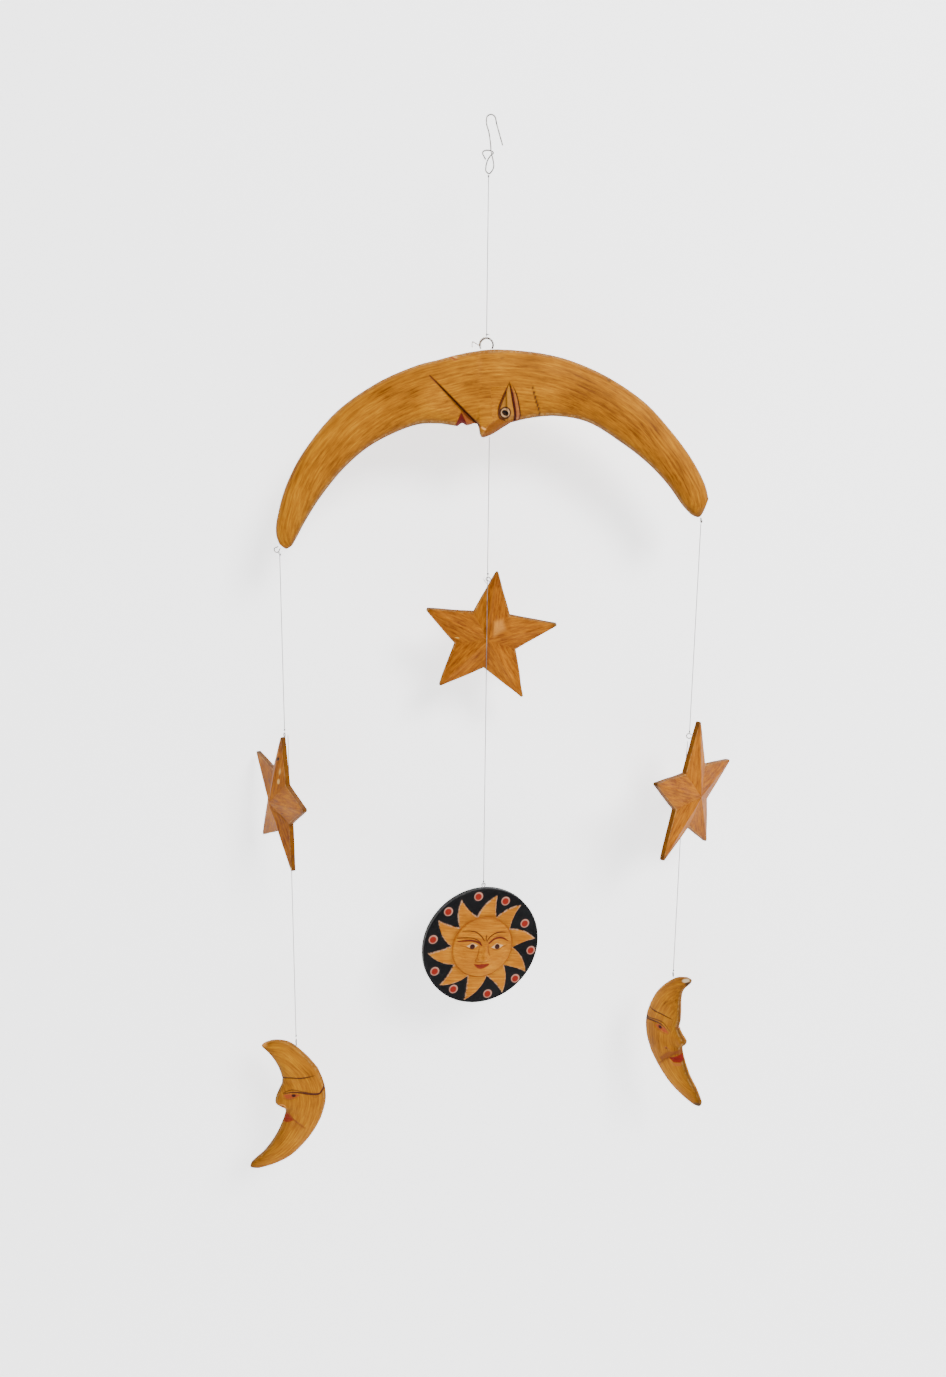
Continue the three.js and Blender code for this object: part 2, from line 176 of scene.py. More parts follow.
def ripple(x: Grid, z: Grid, wave: float, seed: int) -> Grid:
    """Soft unevenness between about -1 and 1, as a knife leaves it.

    Args:
        x, z: where the places are.
        wave: the typical wave length.
        seed: picks one pattern.

    Returns:
        The unevenness at each place.
    """
    dice = np.random.default_rng(seed)
    total = np.zeros(x.shape)
    for _ in range(9):
        turn, phase = dice.uniform(0, 2 * math.pi, 2)
        length = wave * dice.uniform(0.6, 1.8)
        total += np.sin((x * math.cos(turn) + z * math.sin(turn)) * 2 * math.pi / length + phase)
    return total / 4.5


def deselect() -> None:
    """Clears the selection, so an operator meets only what it is meant for."""
    if bpy.context.mode != "OBJECT":
        bpy.ops.object.mode_set(mode="OBJECT")
    bpy.ops.object.select_all(action="DESELECT")


# ---------------------------------------------------------------- carving and painting
@dataclass(frozen=True)
class Stroke:
    """A brushed line, which may also be cut in; width and depth in millimetres."""

    points: tuple[Spot, ...]
    width: float
    colour: Rgb
    depth: float = 0.0
    thin_start: float = 0.25
    thin_end: float = 0.25
    strength: float = 1.0

    def reach(self, x: Grid, z: Grid) -> tuple[Grid, Grid]:
        """Distance to the line and its half width at the nearest point.

        Args:
            x, z: where the places are.

        Returns:
            The distance and the half width at each place.
        """
        d, t = chain_distance(x, z, catmull(self.points, 6))
        start = lerp(self.thin_start, 1, np.clip(t / TAPER, 0, 1))
        ends = start * lerp(self.thin_end, 1, np.clip((1 - t) / TAPER, 0, 1))
        return d, self.width / 2 * ends

    def carve(self, x: Grid, z: Grid, y: Grid) -> Grid:
        """The surface with the groove in it.

        Args:
            x, z: where the places are.
            y: the surface there.

        Returns:
            The surface, cut by the line.
        """
        if not self.depth:
            return y
        d, half = self.reach(x, z)
        return y + self.depth * (half / (self.width / 2)) * np.exp(-((d / (half + 0.25)) ** 2))

    def paint(self, x: Grid, z: Grid, coat: Grid) -> Grid:
        """The coat of paint with the line on it.

        Args:
            x, z: where the places are.
            coat: the paint there.

        Returns:
            The new coat.
        """
        d, half = self.reach(x, z)
        mask = smoothstep(0.42, -0.25, d - half) * self.strength
        return lay_on(coat, self.colour, mask)


class Area:
    """A painted area, sunk where its depth is positive and raised where it is negative."""

    colour: Rgb
    depth: float
    strength: float

    def cover(self, x: Grid, z: Grid) -> Grid:
        """How much of each place the area covers."""
        raise NotImplementedError

    def carve(self, x: Grid, z: Grid, y: Grid) -> Grid:
        """The surface with the area sunk or raised."""
        return y + self.depth * self.cover(x, z) if self.depth else y

    def paint(self, x: Grid, z: Grid, coat: Grid) -> Grid:
        """The coat of paint with the area on it."""
        return lay_on(coat, self.colour, self.cover(x, z) * self.strength)


@dataclass(frozen=True)
class Patch(Area):
    """A painted area, which may also be sunk or raised."""

    outline: tuple[Spot, ...]
    colour: Rgb
    soft: float = 0.3
    depth: float = 0.0
    strength: float = 1.0
    smooth: bool = False

    def cover(self, x: Grid, z: Grid) -> Grid:
        """How much of each place the area covers.

        Args:
            x, z: where the places are.

        Returns:
            The cover, from 0 to 1.
        """
        chain = np.array(self.outline, dtype=float)
        if self.smooth:
            chain = catmull([*self.outline, self.outline[0]], 5)[:-1]
        d, _ = chain_distance(x, z, np.vstack([chain, chain[:1]]))
        signed = np.where(inside_chain(x, z, chain), -d, d)
        return smoothstep(self.soft, -self.soft, signed)


@dataclass(frozen=True)
class Spotted(Area):
    """A painted oval."""

    at: Spot
    radii: Spot
    colour: Rgb
    tilt: float = 0.0
    depth: float = 0.0
    soft: float = 0.3
    strength: float = 1.0

    def cover(self, x: Grid, z: Grid) -> Grid:
        """How much of each place the oval covers.

        Args:
            x, z: where the places are.

        Returns:
            The cover, from 0 to 1.
        """
        c, s = math.cos(math.radians(self.tilt)), math.sin(math.radians(self.tilt))
        u = ((x - self.at[0]) * c + (z - self.at[1]) * s) / self.radii[0]
        v = (-(x - self.at[0]) * s + (z - self.at[1]) * c) / self.radii[1]
        size = min(self.radii)
        return smoothstep(self.soft, -self.soft, (np.hypot(u, v) - 1) * size)


@dataclass(frozen=True)
class Swell:
    """A rounded rise, or a hollow where the height is negative, along a short line."""

    start: Spot
    end: Spot
    radius: tuple[float, float]
    height: tuple[float, float]

    def carve(self, x: Grid, z: Grid, y: Grid) -> Grid:
        """The surface with the rise on it.

        Args:
            x, z: where the places are.
            y: the surface there.

        Returns:
            The surface, raised or sunk.
        """
        d, t = chain_distance(x, z, np.array([self.start, self.end], dtype=float))
        radius = lerp(self.radius[0], self.radius[1], t)
        return y - lerp(self.height[0], self.height[1], t) * np.exp(-((d / radius) ** 2))

    def paint(self, x: Grid, z: Grid, coat: Grid) -> Grid:
        """A rise leaves the paint alone."""
        return coat


@dataclass(frozen=True)
class Step:
    """A carved step: a wall along a line, a floor that runs back up to the surface, and painted shade at
    the wall's foot.
    """

    start: Spot
    end: Spot
    floor: tuple[float, float]
    reach: float
    surface: float
    side: int
    shade: float = 0.5
    past: float = 1.25

    def away(self, x: Grid, z: Grid) -> tuple[Grid, Grid]:
        """How far off the wall and how far along it each place is.

        Args:
            x, z: where the places are.

        Returns:
            The distance off the wall, and the share of its length.
        """
        run = np.subtract(self.end, self.start).astype(float)
        length = float(np.hypot(*run))
        ux, uz = run / length
        along = (x - self.start[0]) * ux + (z - self.start[1]) * uz
        off = self.side * (-(x - self.start[0]) * uz + (z - self.start[1]) * ux)
        return off, along / length

    def carve(self, x: Grid, z: Grid, y: Grid) -> Grid:
        """The surface with the step cut into it.

        Args:
            x, z: where the places are.
            y: the surface there.

        Returns:
            The surface behind the wall, lowered to the floor.
        """
        off, t = self.away(x, z)
        floor = lerp(self.floor[0], self.floor[1], np.clip(t, 0, 1))
        floor = lerp(floor, self.surface, np.clip(off / self.reach, 0, 1))
        within = (off > 0) & (off < self.reach) & (t > 0) & (t < self.past)
        return np.where(within, np.maximum(y, floor), y)

    def paint(self, x: Grid, z: Grid, coat: Grid) -> Grid:
        """Brown painted shade along the foot of the wall, where the wall shades the floor.

        Args:
            x, z: where the places are.
            coat: the paint there.

        Returns:
            The new coat.
        """
        off, t = self.away(x, z)
        on = smoothstep(-0.02, 0.06, t) * smoothstep(1.1, 1.0, t)
        mask = smoothstep(2.6, 0.0, off) * smoothstep(-0.5, 0.2, off) * on
        # painted shade: brown laid on the floor beside the wall, strongest at its foot
        return lay_on(coat, (96, 46, 14), mask * self.shade)


Feature = Stroke | Patch | Spotted | Swell | Step


def lay_on(coat: Grid, colour: Rgb, mask: Grid) -> Grid:
    """Lays paint over a coat.

    Args:
        coat: red, green, blue and cover, along the last axis.
        colour: the paint's colour.
        mask: how much of it there is at each place.

    Returns:
        The new coat.
    """
    mask = mask[..., None]
    cover = coat[..., 3:] * (1 - mask) + mask
    colours = (coat[..., :3] * coat[..., 3:] * (1 - mask) + np.array(linear(colour)) * mask)
    return np.concatenate([colours / np.maximum(cover, 1e-5), cover], axis=-1)


@dataclass
class Hanging:
    """Where a piece hangs: a point in millimetres, and turn, lean and roll in degrees."""

    at: Point = (0.0, 0.0, 0.0)
    turn: float = 0.0
    lean: float = 0.0
    roll: float = 0.0

    def matrix(self) -> Grid:
        """The turn as a 3 by 3 matrix.

        Returns:
            The turn, then the lean, then the roll, as one matrix.
        """
        turn = Matrix.Rotation(math.radians(self.turn), 3, "Z")
        lean = Matrix.Rotation(math.radians(self.lean), 3, "X")
        roll = Matrix.Rotation(math.radians(self.roll), 3, "Y")
        return np.array(turn @ lean @ roll)

    def set_out(self, points: Grid) -> Grid:
        """Points of the piece's own frame, in millimetres, as row-frame metres."""
        return (points @ self.matrix().T + np.array(self.at)) * MM


def wrapped_blank(name: str, rings: Grid, attributes: dict[str, Grid]) -> Piece:
    """A grid laid round a form, closed down its seam and at both poles.

    Args:
        name: the piece's name.
        rings: points in metres, ring by ring, the first and last ring being poles.
        attributes: what each point carries: three numbers for a place, four for a colour.

    Returns:
        The finished, smooth-shaded piece.
    """
    count, around = rings.shape[:2]
    deselect()
    bpy.ops.mesh.primitive_grid_add(x_subdivisions=around, y_subdivisions=count - 1, size=2)
    blank = bpy.context.active_object
    blank.name = blank.data.name = name
    mesh = blank.data
    flat = np.empty(len(mesh.vertices) * 3)
    mesh.vertices.foreach_get("co", flat)
    flat = flat.reshape(-1, 3)
    column = np.rint((flat[:, 0] + 1) / 2 * around).astype(int) % around
    row = np.rint((flat[:, 1] + 1) / 2 * (count - 1)).astype(int)
    mesh.vertices.foreach_set("co", rings[row, column].ravel())
    for key, values in attributes.items():
        kind = "FLOAT_VECTOR" if values.shape[-1] == 3 else "FLOAT_COLOR"
        layer = mesh.attributes.new(key, kind, "POINT")
        layer.data.foreach_set("vector" if kind == "FLOAT_VECTOR" else "color",
                               values[row, column].ravel().astype(np.float32))
    bpy.ops.object.mode_set(mode="EDIT")
    bpy.ops.mesh.select_all(action="SELECT")
    bpy.ops.mesh.remove_doubles(threshold=1e-6)
    bpy.ops.mesh.dissolve_degenerate(threshold=1e-7)
    bpy.ops.mesh.normals_make_consistent(inside=False)
    bpy.ops.object.mode_set(mode="OBJECT")
    bpy.ops.object.shade_smooth()
    deselect()
    return blank


# ---------------------------------------------------------------- finishes
class Nodes:
    """A material's node tree, with short ways to add to it."""

    def __init__(self, name: str) -> None:
        """Starts an empty material of that name.

        Args:
            name: the material's name.
        """
        self.material = bpy.data.materials.new(name)
        self.material.use_nodes = True
        self.tree = self.material.node_tree
        self.tree.nodes.clear()
        self.out = self.tree.nodes.new("ShaderNodeOutputMaterial")

    def add(self, kind: str, **settings: object) -> bpy.types.Node:
        """A new node with the given settings.

        Args:
            kind: the node's type, without its first word.
            **settings: its properties by name.

        Returns:
            The new node.
        """
        node = self.tree.nodes.new(f"ShaderNode{kind}")
        for key, value in settings.items():
            setattr(node, key, value)
        return node

    def link(self, source: Socket, target: Socket) -> None:
        """Joins two sockets."""
        self.tree.links.new(source, target)

    def noise(self, vector: Socket, scale: float, detail: float, rough: float = 0.55) -> Socket:
        """A noise pattern's grey output.

        Args:
            vector: the place.
            scale, detail, rough: the pattern's sizes.

        Returns:
            The pattern, from 0 to 1.
        """
        node = self.add("TexNoise")
        node.inputs["Scale"].default_value = scale
        node.inputs["Detail"].default_value = detail
        node.inputs["Roughness"].default_value = rough
        self.link(vector, node.inputs["Vector"])
        return node.outputs["Fac"]

    def stretch(self, vector: Socket, scale: Point) -> Socket:
        """A pattern's place, stretched along its axes.

        Args:
            vector: the place.
            scale: how often the pattern repeats along each axis.

        Returns:
            The stretched place.
        """
        node = self.add("Mapping")
        node.inputs["Scale"].default_value = scale
        self.link(vector, node.inputs["Vector"])
        return node.outputs["Vector"]

    def ramp(self, fac: Socket, stops: Sequence[tuple[float, Rgb]]) -> Socket:
        """A colour for each value, through the given stops.

        Args:
            fac: the value.
            stops: a value and a colour each.

        Returns:
            The colour.
        """
        node = self.add("ValToRGB")
        band = node.color_ramp
        while len(band.elements) < len(stops):
            band.elements.new(0.5)
        for element, (place, colour) in zip(band.elements, stops):
            element.position = place
            element.color = (*linear(colour), 1)
        self.link(fac, node.inputs["Fac"])
        return node.outputs["Color"]

    def span(self, value: Socket, low: float, high: float, to_low: float, to_high: float) -> Socket:
        """A value moved from one range to another, and held within it.

        Args:
            value: the value.
            low, high: the range it comes from.
            to_low, to_high: the range it goes to.

        Returns:
            The moved value.
        """
        node = self.add("MapRange")
        for key, number in (("From Min", low), ("From Max", high), ("To Min", to_low), ("To Max", to_high)):
            node.inputs[key].default_value = number
        self.link(value, node.inputs["Value"])
        return node.outputs["Result"]

    def sums(self, operation: str, a: Socket, b: Socket | float) -> Socket:
        """One sum of two values.

        Args:
            operation: the sum's name.
            a, b: the two values.

        Returns:
            The result.
        """
        node = self.add("Math", operation=operation)
        self.link(a, node.inputs[0])
        if isinstance(b, float):
            node.inputs[1].default_value = b
        else:
            self.link(b, node.inputs[1])
        return node.outputs[0]

    def mix(self, fac: Socket, a: Socket, b: Socket | Rgb,
            blend: str = "MIX") -> Socket:
        """Two colours mixed by a value.

        Args:
            fac: the share of the second colour.
            a, b: the two colours.
            blend: how they mix.

        Returns:
            The mixed colour.
        """
        node = self.add("Mix", data_type="RGBA", blend_type=blend)
        self.link(fac, node.inputs[0])
        self.link(a, node.inputs[6])
        if isinstance(b, tuple):
            node.inputs[7].default_value = (*linear(b), 1)
        else:
            self.link(b, node.inputs[7])
        return node.outputs[2]


@dataclass(frozen=True)
class CarvedPaint:
    """Brushed ochre over a black ground coat, worn at its edges, with painted features and painted shade on
    it.
    """

    name: str
    dark: Rgb = (96, 50, 1)
    middle: Rgb = (146, 88, 2)
    bright: Rgb = (180, 118, 8)
    ground: Rgb = (2, 2, 4)
    dirt_and_shade: Rgb = (62, 36, 4)
    worn: Rgb = (190, 156, 96)
    roughness: float = 0.62

    def make(self) -> Material:
        """The finish as a material; it reads the attributes flow, shade and coat.

        Returns:
            The material.
        """
        n = Nodes(self.name)
        flow = n.add("Attribute", attribute_name="flow").outputs["Vector"]
        shade = n.add("SeparateColor")
        n.link(n.add("Attribute", attribute_name="shade").outputs["Color"], shade.inputs["Color"])
        coat = n.add("Attribute", attribute_name="coat")
        place = n.add("TexCoord").outputs["Object"]
        streaks = n.noise(n.stretch(flow, (0.5, 7.0, 7.0)), 1.0, 5.0, 0.62)
        grain = n.noise(n.stretch(flow, (2.2, 26.0, 26.0)), 1.0, 3.0, 0.6)
        clouds = n.noise(place, 34.0, 3.0)
        speckle = n.noise(place, 900.0, 2.0)
        tone = n.sums("ADD", n.sums("MULTIPLY", streaks, 0.5), n.sums("MULTIPLY", grain, 0.22))
        tone = n.sums("ADD", tone, n.sums("MULTIPLY", clouds, 0.28))
        colour = n.ramp(tone, ((0.36, self.dark), (0.5, self.middle), (0.64, self.bright)))
        # darkening from the shade attribute's blue: brown wear and glaze, and painted shade on crescent
        # inner edges and round the sun's face
        dirt_and_shade = n.sums("MULTIPLY", shade.outputs["Blue"], n.span(clouds, 0.3, 0.7, 0.55, 1.0))
        colour = n.mix(dirt_and_shade, colour, self.dirt_and_shade)
        black = n.span(n.sums("ADD", shade.outputs["Red"], n.sums("MULTIPLY", grain, 0.16)), 0.5, 0.66,
                0.0, 1.0)
        ground = n.ramp(clouds, ((0.3, self.ground), (0.75, (9, 9, 11))))
        colour = n.mix(black, colour, ground)
        wear = n.sums("MULTIPLY", shade.outputs["Green"],
                n.span(n.noise(place, 420.0, 4.0), 0.42, 0.6, 0.0, 1.0))
        colour = n.mix(wear, colour, self.worn)
        thin = n.sums("MULTIPLY", coat.outputs["Alpha"], n.span(speckle, 0.25, 0.5, 0.82, 1.0))
        colour = n.mix(thin, colour, coat.outputs["Color"])
        shader = n.add("BsdfPrincipled")
        shader.inputs["Specular IOR Level"].default_value = 0.1
        n.link(colour, shader.inputs["Base Color"])
        gloss = n.span(streaks, 0.3, 0.7, self.roughness - 0.08, self.roughness + 0.1)
        n.link(n.sums("SUBTRACT", gloss, n.sums("MULTIPLY", black, 0.08)), shader.inputs["Roughness"])
        bump = n.add("Bump")
        bump.inputs["Strength"].default_value = 0.35
        bump.inputs["Distance"].default_value = 0.0005
        n.link(n.sums("ADD", n.sums("MULTIPLY", streaks, 0.6), n.sums("MULTIPLY", grain, 0.5)),
               bump.inputs["Height"])
        n.link(bump.outputs["Normal"], shader.inputs["Normal"])
        n.link(shader.outputs["BSDF"], n.out.inputs["Surface"])
        return n.material


@dataclass(frozen=True)
class BentWire:
    """Dull steel wire with darker, tarnished stretches."""

    name: str
    clean: Rgb = (150, 148, 145)
    tarnish: Rgb = (74, 66, 58)
    roughness: float = 0.38

    def make(self) -> Material:
        """The finish as a material.

        Returns:
            The material.
        """
        n = Nodes(self.name)
        place = n.add("TexCoord").outputs["Object"]
        spots = n.noise(place, 700.0, 4.0)
        shader = n.add("BsdfPrincipled")
        shader.inputs["Metallic"].default_value = 0.85
        n.link(n.ramp(spots, ((0.38, self.tarnish), (0.6, self.clean))), shader.inputs["Base Color"])
        n.link(n.span(spots, 0.3, 0.7, self.roughness + 0.2, self.roughness), shader.inputs["Roughness"])
        bump = n.add("Bump")
        bump.inputs["Strength"].default_value = 0.3
        bump.inputs["Distance"].default_value = 0.0001
        n.link(spots, bump.inputs["Height"])
        n.link(bump.outputs["Normal"], shader.inputs["Normal"])
        n.link(shader.outputs["BSDF"], n.out.inputs["Surface"])
        return n.material


@dataclass(frozen=True)
class ThinLine:
    """Thin grey-white nylon line."""

    name: str
    pale: Rgb = (112, 112, 110)
    dull: Rgb = (72, 72, 70)

    def make(self) -> Material:
        """The finish as a material.

        Returns:
            The material.
        """
        n = Nodes(self.name)
        place = n.add("TexCoord").outputs["Object"]
        shader = n.add("BsdfPrincipled")
        n.link(n.ramp(n.noise(place, 160.0, 3.0), ((0.35, self.dull), (0.65, self.pale))),
               shader.inputs["Base Color"])
        shader.inputs["Roughness"].default_value = 0.32
        n.link(shader.outputs["BSDF"], n.out.inputs["Surface"])
        return n.material


@dataclass(frozen=True)
class StudioPaint:
    """The pale wall and floor, whose wall lets a view from behind pass."""

    name: str
    colour: Rgb = (250, 250, 251)
    one_sided: bool = False
    glow: float = 0.0

    def make(self) -> Material:
        """The finish as a material.

        Returns:
            The material.
        """
        n = Nodes(self.name)
        shader = n.add("BsdfDiffuse")
        shader.inputs["Color"].default_value = (*linear(self.colour), 1)
        result = shader.outputs["BSDF"]
        if self.glow:
            light, both = n.add("Emission"), n.add("AddShader")
            light.inputs["Strength"].default_value = self.glow
            n.link(result, both.inputs[0])
            n.link(light.outputs["Emission"], both.inputs[1])
            result = both.outputs["Shader"]
        if self.one_sided:
            mixed = n.add("MixShader")
            n.link(n.add("NewGeometry").outputs["Backfacing"], mixed.inputs["Fac"])
            n.link(result, mixed.inputs[1])
            n.link(n.add("BsdfTransparent").outputs["BSDF"], mixed.inputs[2])
            result = mixed.outputs["Shader"]
        n.link(result, n.out.inputs["Surface"])
        return n.material


def dress(piece: Piece, material: Material, slot: Slot, *nodes: str) -> Piece:
    """Finishes a piece and lets it stand for CAD nodes.

    Args:
        piece: the finished piece.
        material: its finish.
        slot: the record's slot that the finish belongs to; not used.
        nodes: the CAD nodes that it stands for.

    Returns:
        The same piece.
    """
    piece.data.materials.clear()
    piece.data.materials.append(material)
    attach(piece, BODY)
    if nodes:
        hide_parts(*nodes)
    return piece


# ---------------------------------------------------------------- wire and line
def bent(name: str, points: Sequence[Point], diameter: float, per_span: int = 6,
        round_off: int = 4) -> Piece:
    """A round wire through points, as a curve.

    Args:
        name: the piece's name.
        points: its centreline in millimetres.
        diameter: in millimetres.
        per_span: steps between two points.
        round_off: how finely the wire is rounded.

    Returns:
        The curve, with filled ends.
    """
    deselect()
    bpy.ops.curve.primitive_nurbs_path_add()
    wire = bpy.context.active_object
    wire.name = wire.data.name = name
    wire.data.splines.clear()
    run = catmull(points, per_span)
    spline = wire.data.splines.new("POLY")
    spline.points.add(len(run) - 1)
    spline.points.foreach_set("co", np.column_stack([run * MM, np.ones(len(run))]).ravel())
    wire.data.dimensions = "3D"
    wire.data.bevel_depth = diameter * MM / 2
    wire.data.bevel_resolution = round_off
    wire.data.use_fill_caps = True
    deselect()
    return wire


def knot_points(at: Point, size: float, turn: float = 0.0) -> list[Point]:
    """A tight overhand knot's centreline round a point, in millimetres.

    Args:
        at: its middle.
        size: half its width.
        turn: its turn about the upright, in radians.

    Returns:
        The points.
    """
    points = []
    for t in np.linspace(0, 2 * math.pi, 25):
        x = (math.sin(t) + 2 * math.sin(2 * t)) / 3
        z = (math.cos(t) - 2 * math.cos(2 * t)) / 3
        y = -math.sin(3 * t) / 2.4
        c, s = math.cos(turn), math.sin(turn)
        points.append((at[0] + size * (x * c - y * s), at[1] + size * (x * s + y * c),
                at[2] + size * z * 1.25))
    return points


@dataclass(frozen=True)
class Line:
    """One hanging line with the knots and loops tied in it; millimetres."""

    node: str
    route: tuple[Point, ...]
    knots: tuple[Point, ...] = ()
    tails: tuple[tuple[Point, ...], ...] = ()
    diameter: float = 0.5

    def make(self, material: Material) -> Piece:
        """Args:
            material: the line's finish.

        Returns:
            The line.
        """
        line = bent(f"{self.node}_run", self.route, self.diameter, per_span=12, round_off=3)
        for number, at in enumerate(self.knots):
            tied = knot_points(at, 0.55, 0.7 * number)
            knot = bent(f"{self.node}_knot_{number + 1}", tied, self.diameter * 0.9, 2, 2)
            dress(knot, material, Slot.LINE)
        for number, tail in enumerate(self.tails):
            end = bent(f"{self.node}_tie_{number + 1}", tail, self.diameter * 0.85, 5, 2)
            dress(end, material, Slot.LINE)
        dress(line, material, Slot.LINE, self.node)
        return line


@dataclass(frozen=True)
class WireEye:
    """An eye of bent wire that stands on the wood; millimetres, in its piece's own frame."""

    node: str
    foot: Point
    out: Point
    across: Point
    radius: float
    rise: float
    hanging: Hanging = field(default_factory=Hanging)
    diameter: float = 0.7
    leg: float = 0.62
    loop: tuple[float, float] = (-50, 230)

    def make(self, material: Material) -> Piece:
        """Builds the eye in the wire's finish.

        Args:
            material: the wire's finish.

        Returns:
            The eye.
        """
        foot, out, across = (np.array(v) for v in (self.foot, self.out, self.across))
        points = [foot + across * self.radius * self.leg]
        for angle in np.radians(np.linspace(*self.loop, 10)):
            lift = self.rise + self.radius * math.sin(angle)
            points.append(foot + across * self.radius * math.cos(angle) + out * lift)
        points.append(foot - across * self.radius * self.leg)
        placed = self.hanging.set_out(np.array(points)) / MM
        eye = bent(f"{self.node}_wire", [tuple(p) for p in placed], self.diameter, 5, 4)
        return dress(eye, material, Slot.WIRE, self.node)


@dataclass(frozen=True)
class Wirework:
    """The wire hook at the top, and the bound ring on the crescent moon; millimetres."""

    hook_wire: float = 0.9
    ring_wire: float = 1.3
    thin_wire: float = 0.6
    ring_at: Point = (-1.2, 0.0, -146.6)
    ring_radius: float = 4.7
    ring_foot: float = -149.3
    hook: tuple[Point, ...] = (
        (8.2, 0, -15.9), (5.8, 0, -8.4), (3.8, 0, -2.0), (2.7, 0, 2.0), (0, 0, 3.5), (-2.7, 0,
                2.0), (-3.0, 0, -2.2),
        (-1.4, 0, -7.4), (-0.4, 0, -12.8), (0.5, 0, -20.2), (1.9, 0, -26.0), (2.2, 0, -29.8), (0.6, 0,
                -32.8),
        (-1.2, 0, -33.8), (-3.1, 0, -32.0), (-3.0, -0.2, -29.0), (-1.9, -0.7, -25.4), (0.2, -1.275, -22.6),
        (1.9, -0.2, -21.0), (0.9, 1.175, -19.3), (-1.4, 0.7, -18.9), (-4.0, 0.3, -19.2), (-5.5, 0, -20.6),
        (-4.6, -0.1, -22.8), (-3.3, -0.2, -24.9),
    )

    def make_hook(self, material: Material) -> Piece:
        """The hook that is laid over a screw or pin, twisted into two loops below."""
        return dress(bent("hook_wire", self.hook, self.hook_wire, 8, 5), material, Slot.WIRE,
                "hanging_hook")

    def make_ring(self, material: Material, binding: Material) -> list[Piece]:
        """The screwed-in ring with thin wire wound round its left side.

        Args:
            material: the ring's finish.
            binding: the finish of the thin wire wound round it.

        Returns:
            The ring and its binding.
        """
        x, _, z = self.ring_at
        angles = np.radians(np.linspace(-32, 212, 15))
        points = [(x + self.ring_radius * math.cos(a), 0.0,
                z + self.ring_radius * math.sin(a)) for a in angles]
        points = [p for p in points if p[2] > self.ring_foot - 0.4]
        ring = dress(bent("ring_wire", points, self.ring_wire, 6, 6), material, Slot.WIRE, "moon_ring")
        winding = []
        turns = 6.5
        for t in np.linspace(0, 1, 66):
            a = math.radians(lerp(100, 186, t))
            wind = 2 * math.pi * turns * t
            off = self.ring_wire / 2 + self.thin_wire * 0.32
            reach = self.ring_radius + off * math.cos(wind)
            winding.append((x + reach * math.cos(a), off * math.sin(wind), z + reach * math.sin(a)))
        wound = dress(bent("ring_binding", winding, self.thin_wire * 0.7, 3, 3), binding, Slot.WIRE)
        twisted = []
        start, end = np.array((-6.4, -0.9, -147.2)), np.array((-11.0, -0.5, -144.4))
        for t in np.linspace(0, 1, 25):
            spin = 2 * math.pi * 3 * t
            twisted.append(tuple(lerp(start, end,
                    t) + np.array((0.0, math.cos(spin), math.sin(spin))) * 0.22))
        twisted += [(-11.4, -0.3, -145.6), (-11.35, 0, -148.4)]
        tail = dress(bent("ring_tail", twisted, self.thin_wire * 0.8, 3, 3), binding, Slot.WIRE,
                "moon_ring_tail")
        return [ring, wound, tail]


class Carved:
    """A carved piece: one blank wrapped round its form, in its own frame."""

    node: str
    hanging: Hanging
    slot = Slot.OCHRE

    def rings(self) -> tuple[Grid, dict[str, Grid]]:
        """Points of the whole form, and what each of them carries."""
        raise NotImplementedError

    def make(self, material: Material) -> Piece:
        """Carves and paints the piece.

        Args:
            material: its finish.

        Returns:
            The finished piece, which stands for its CAD node.
        """
        points, attributes = self.rings()
        piece = wrapped_blank(f"{self.node}_carved", self.hanging.set_out(points), attributes)
        return dress(piece, material, self.slot, self.node)


# ---------------------------------------------------------------- crescents
Pair = tuple[float, ...]


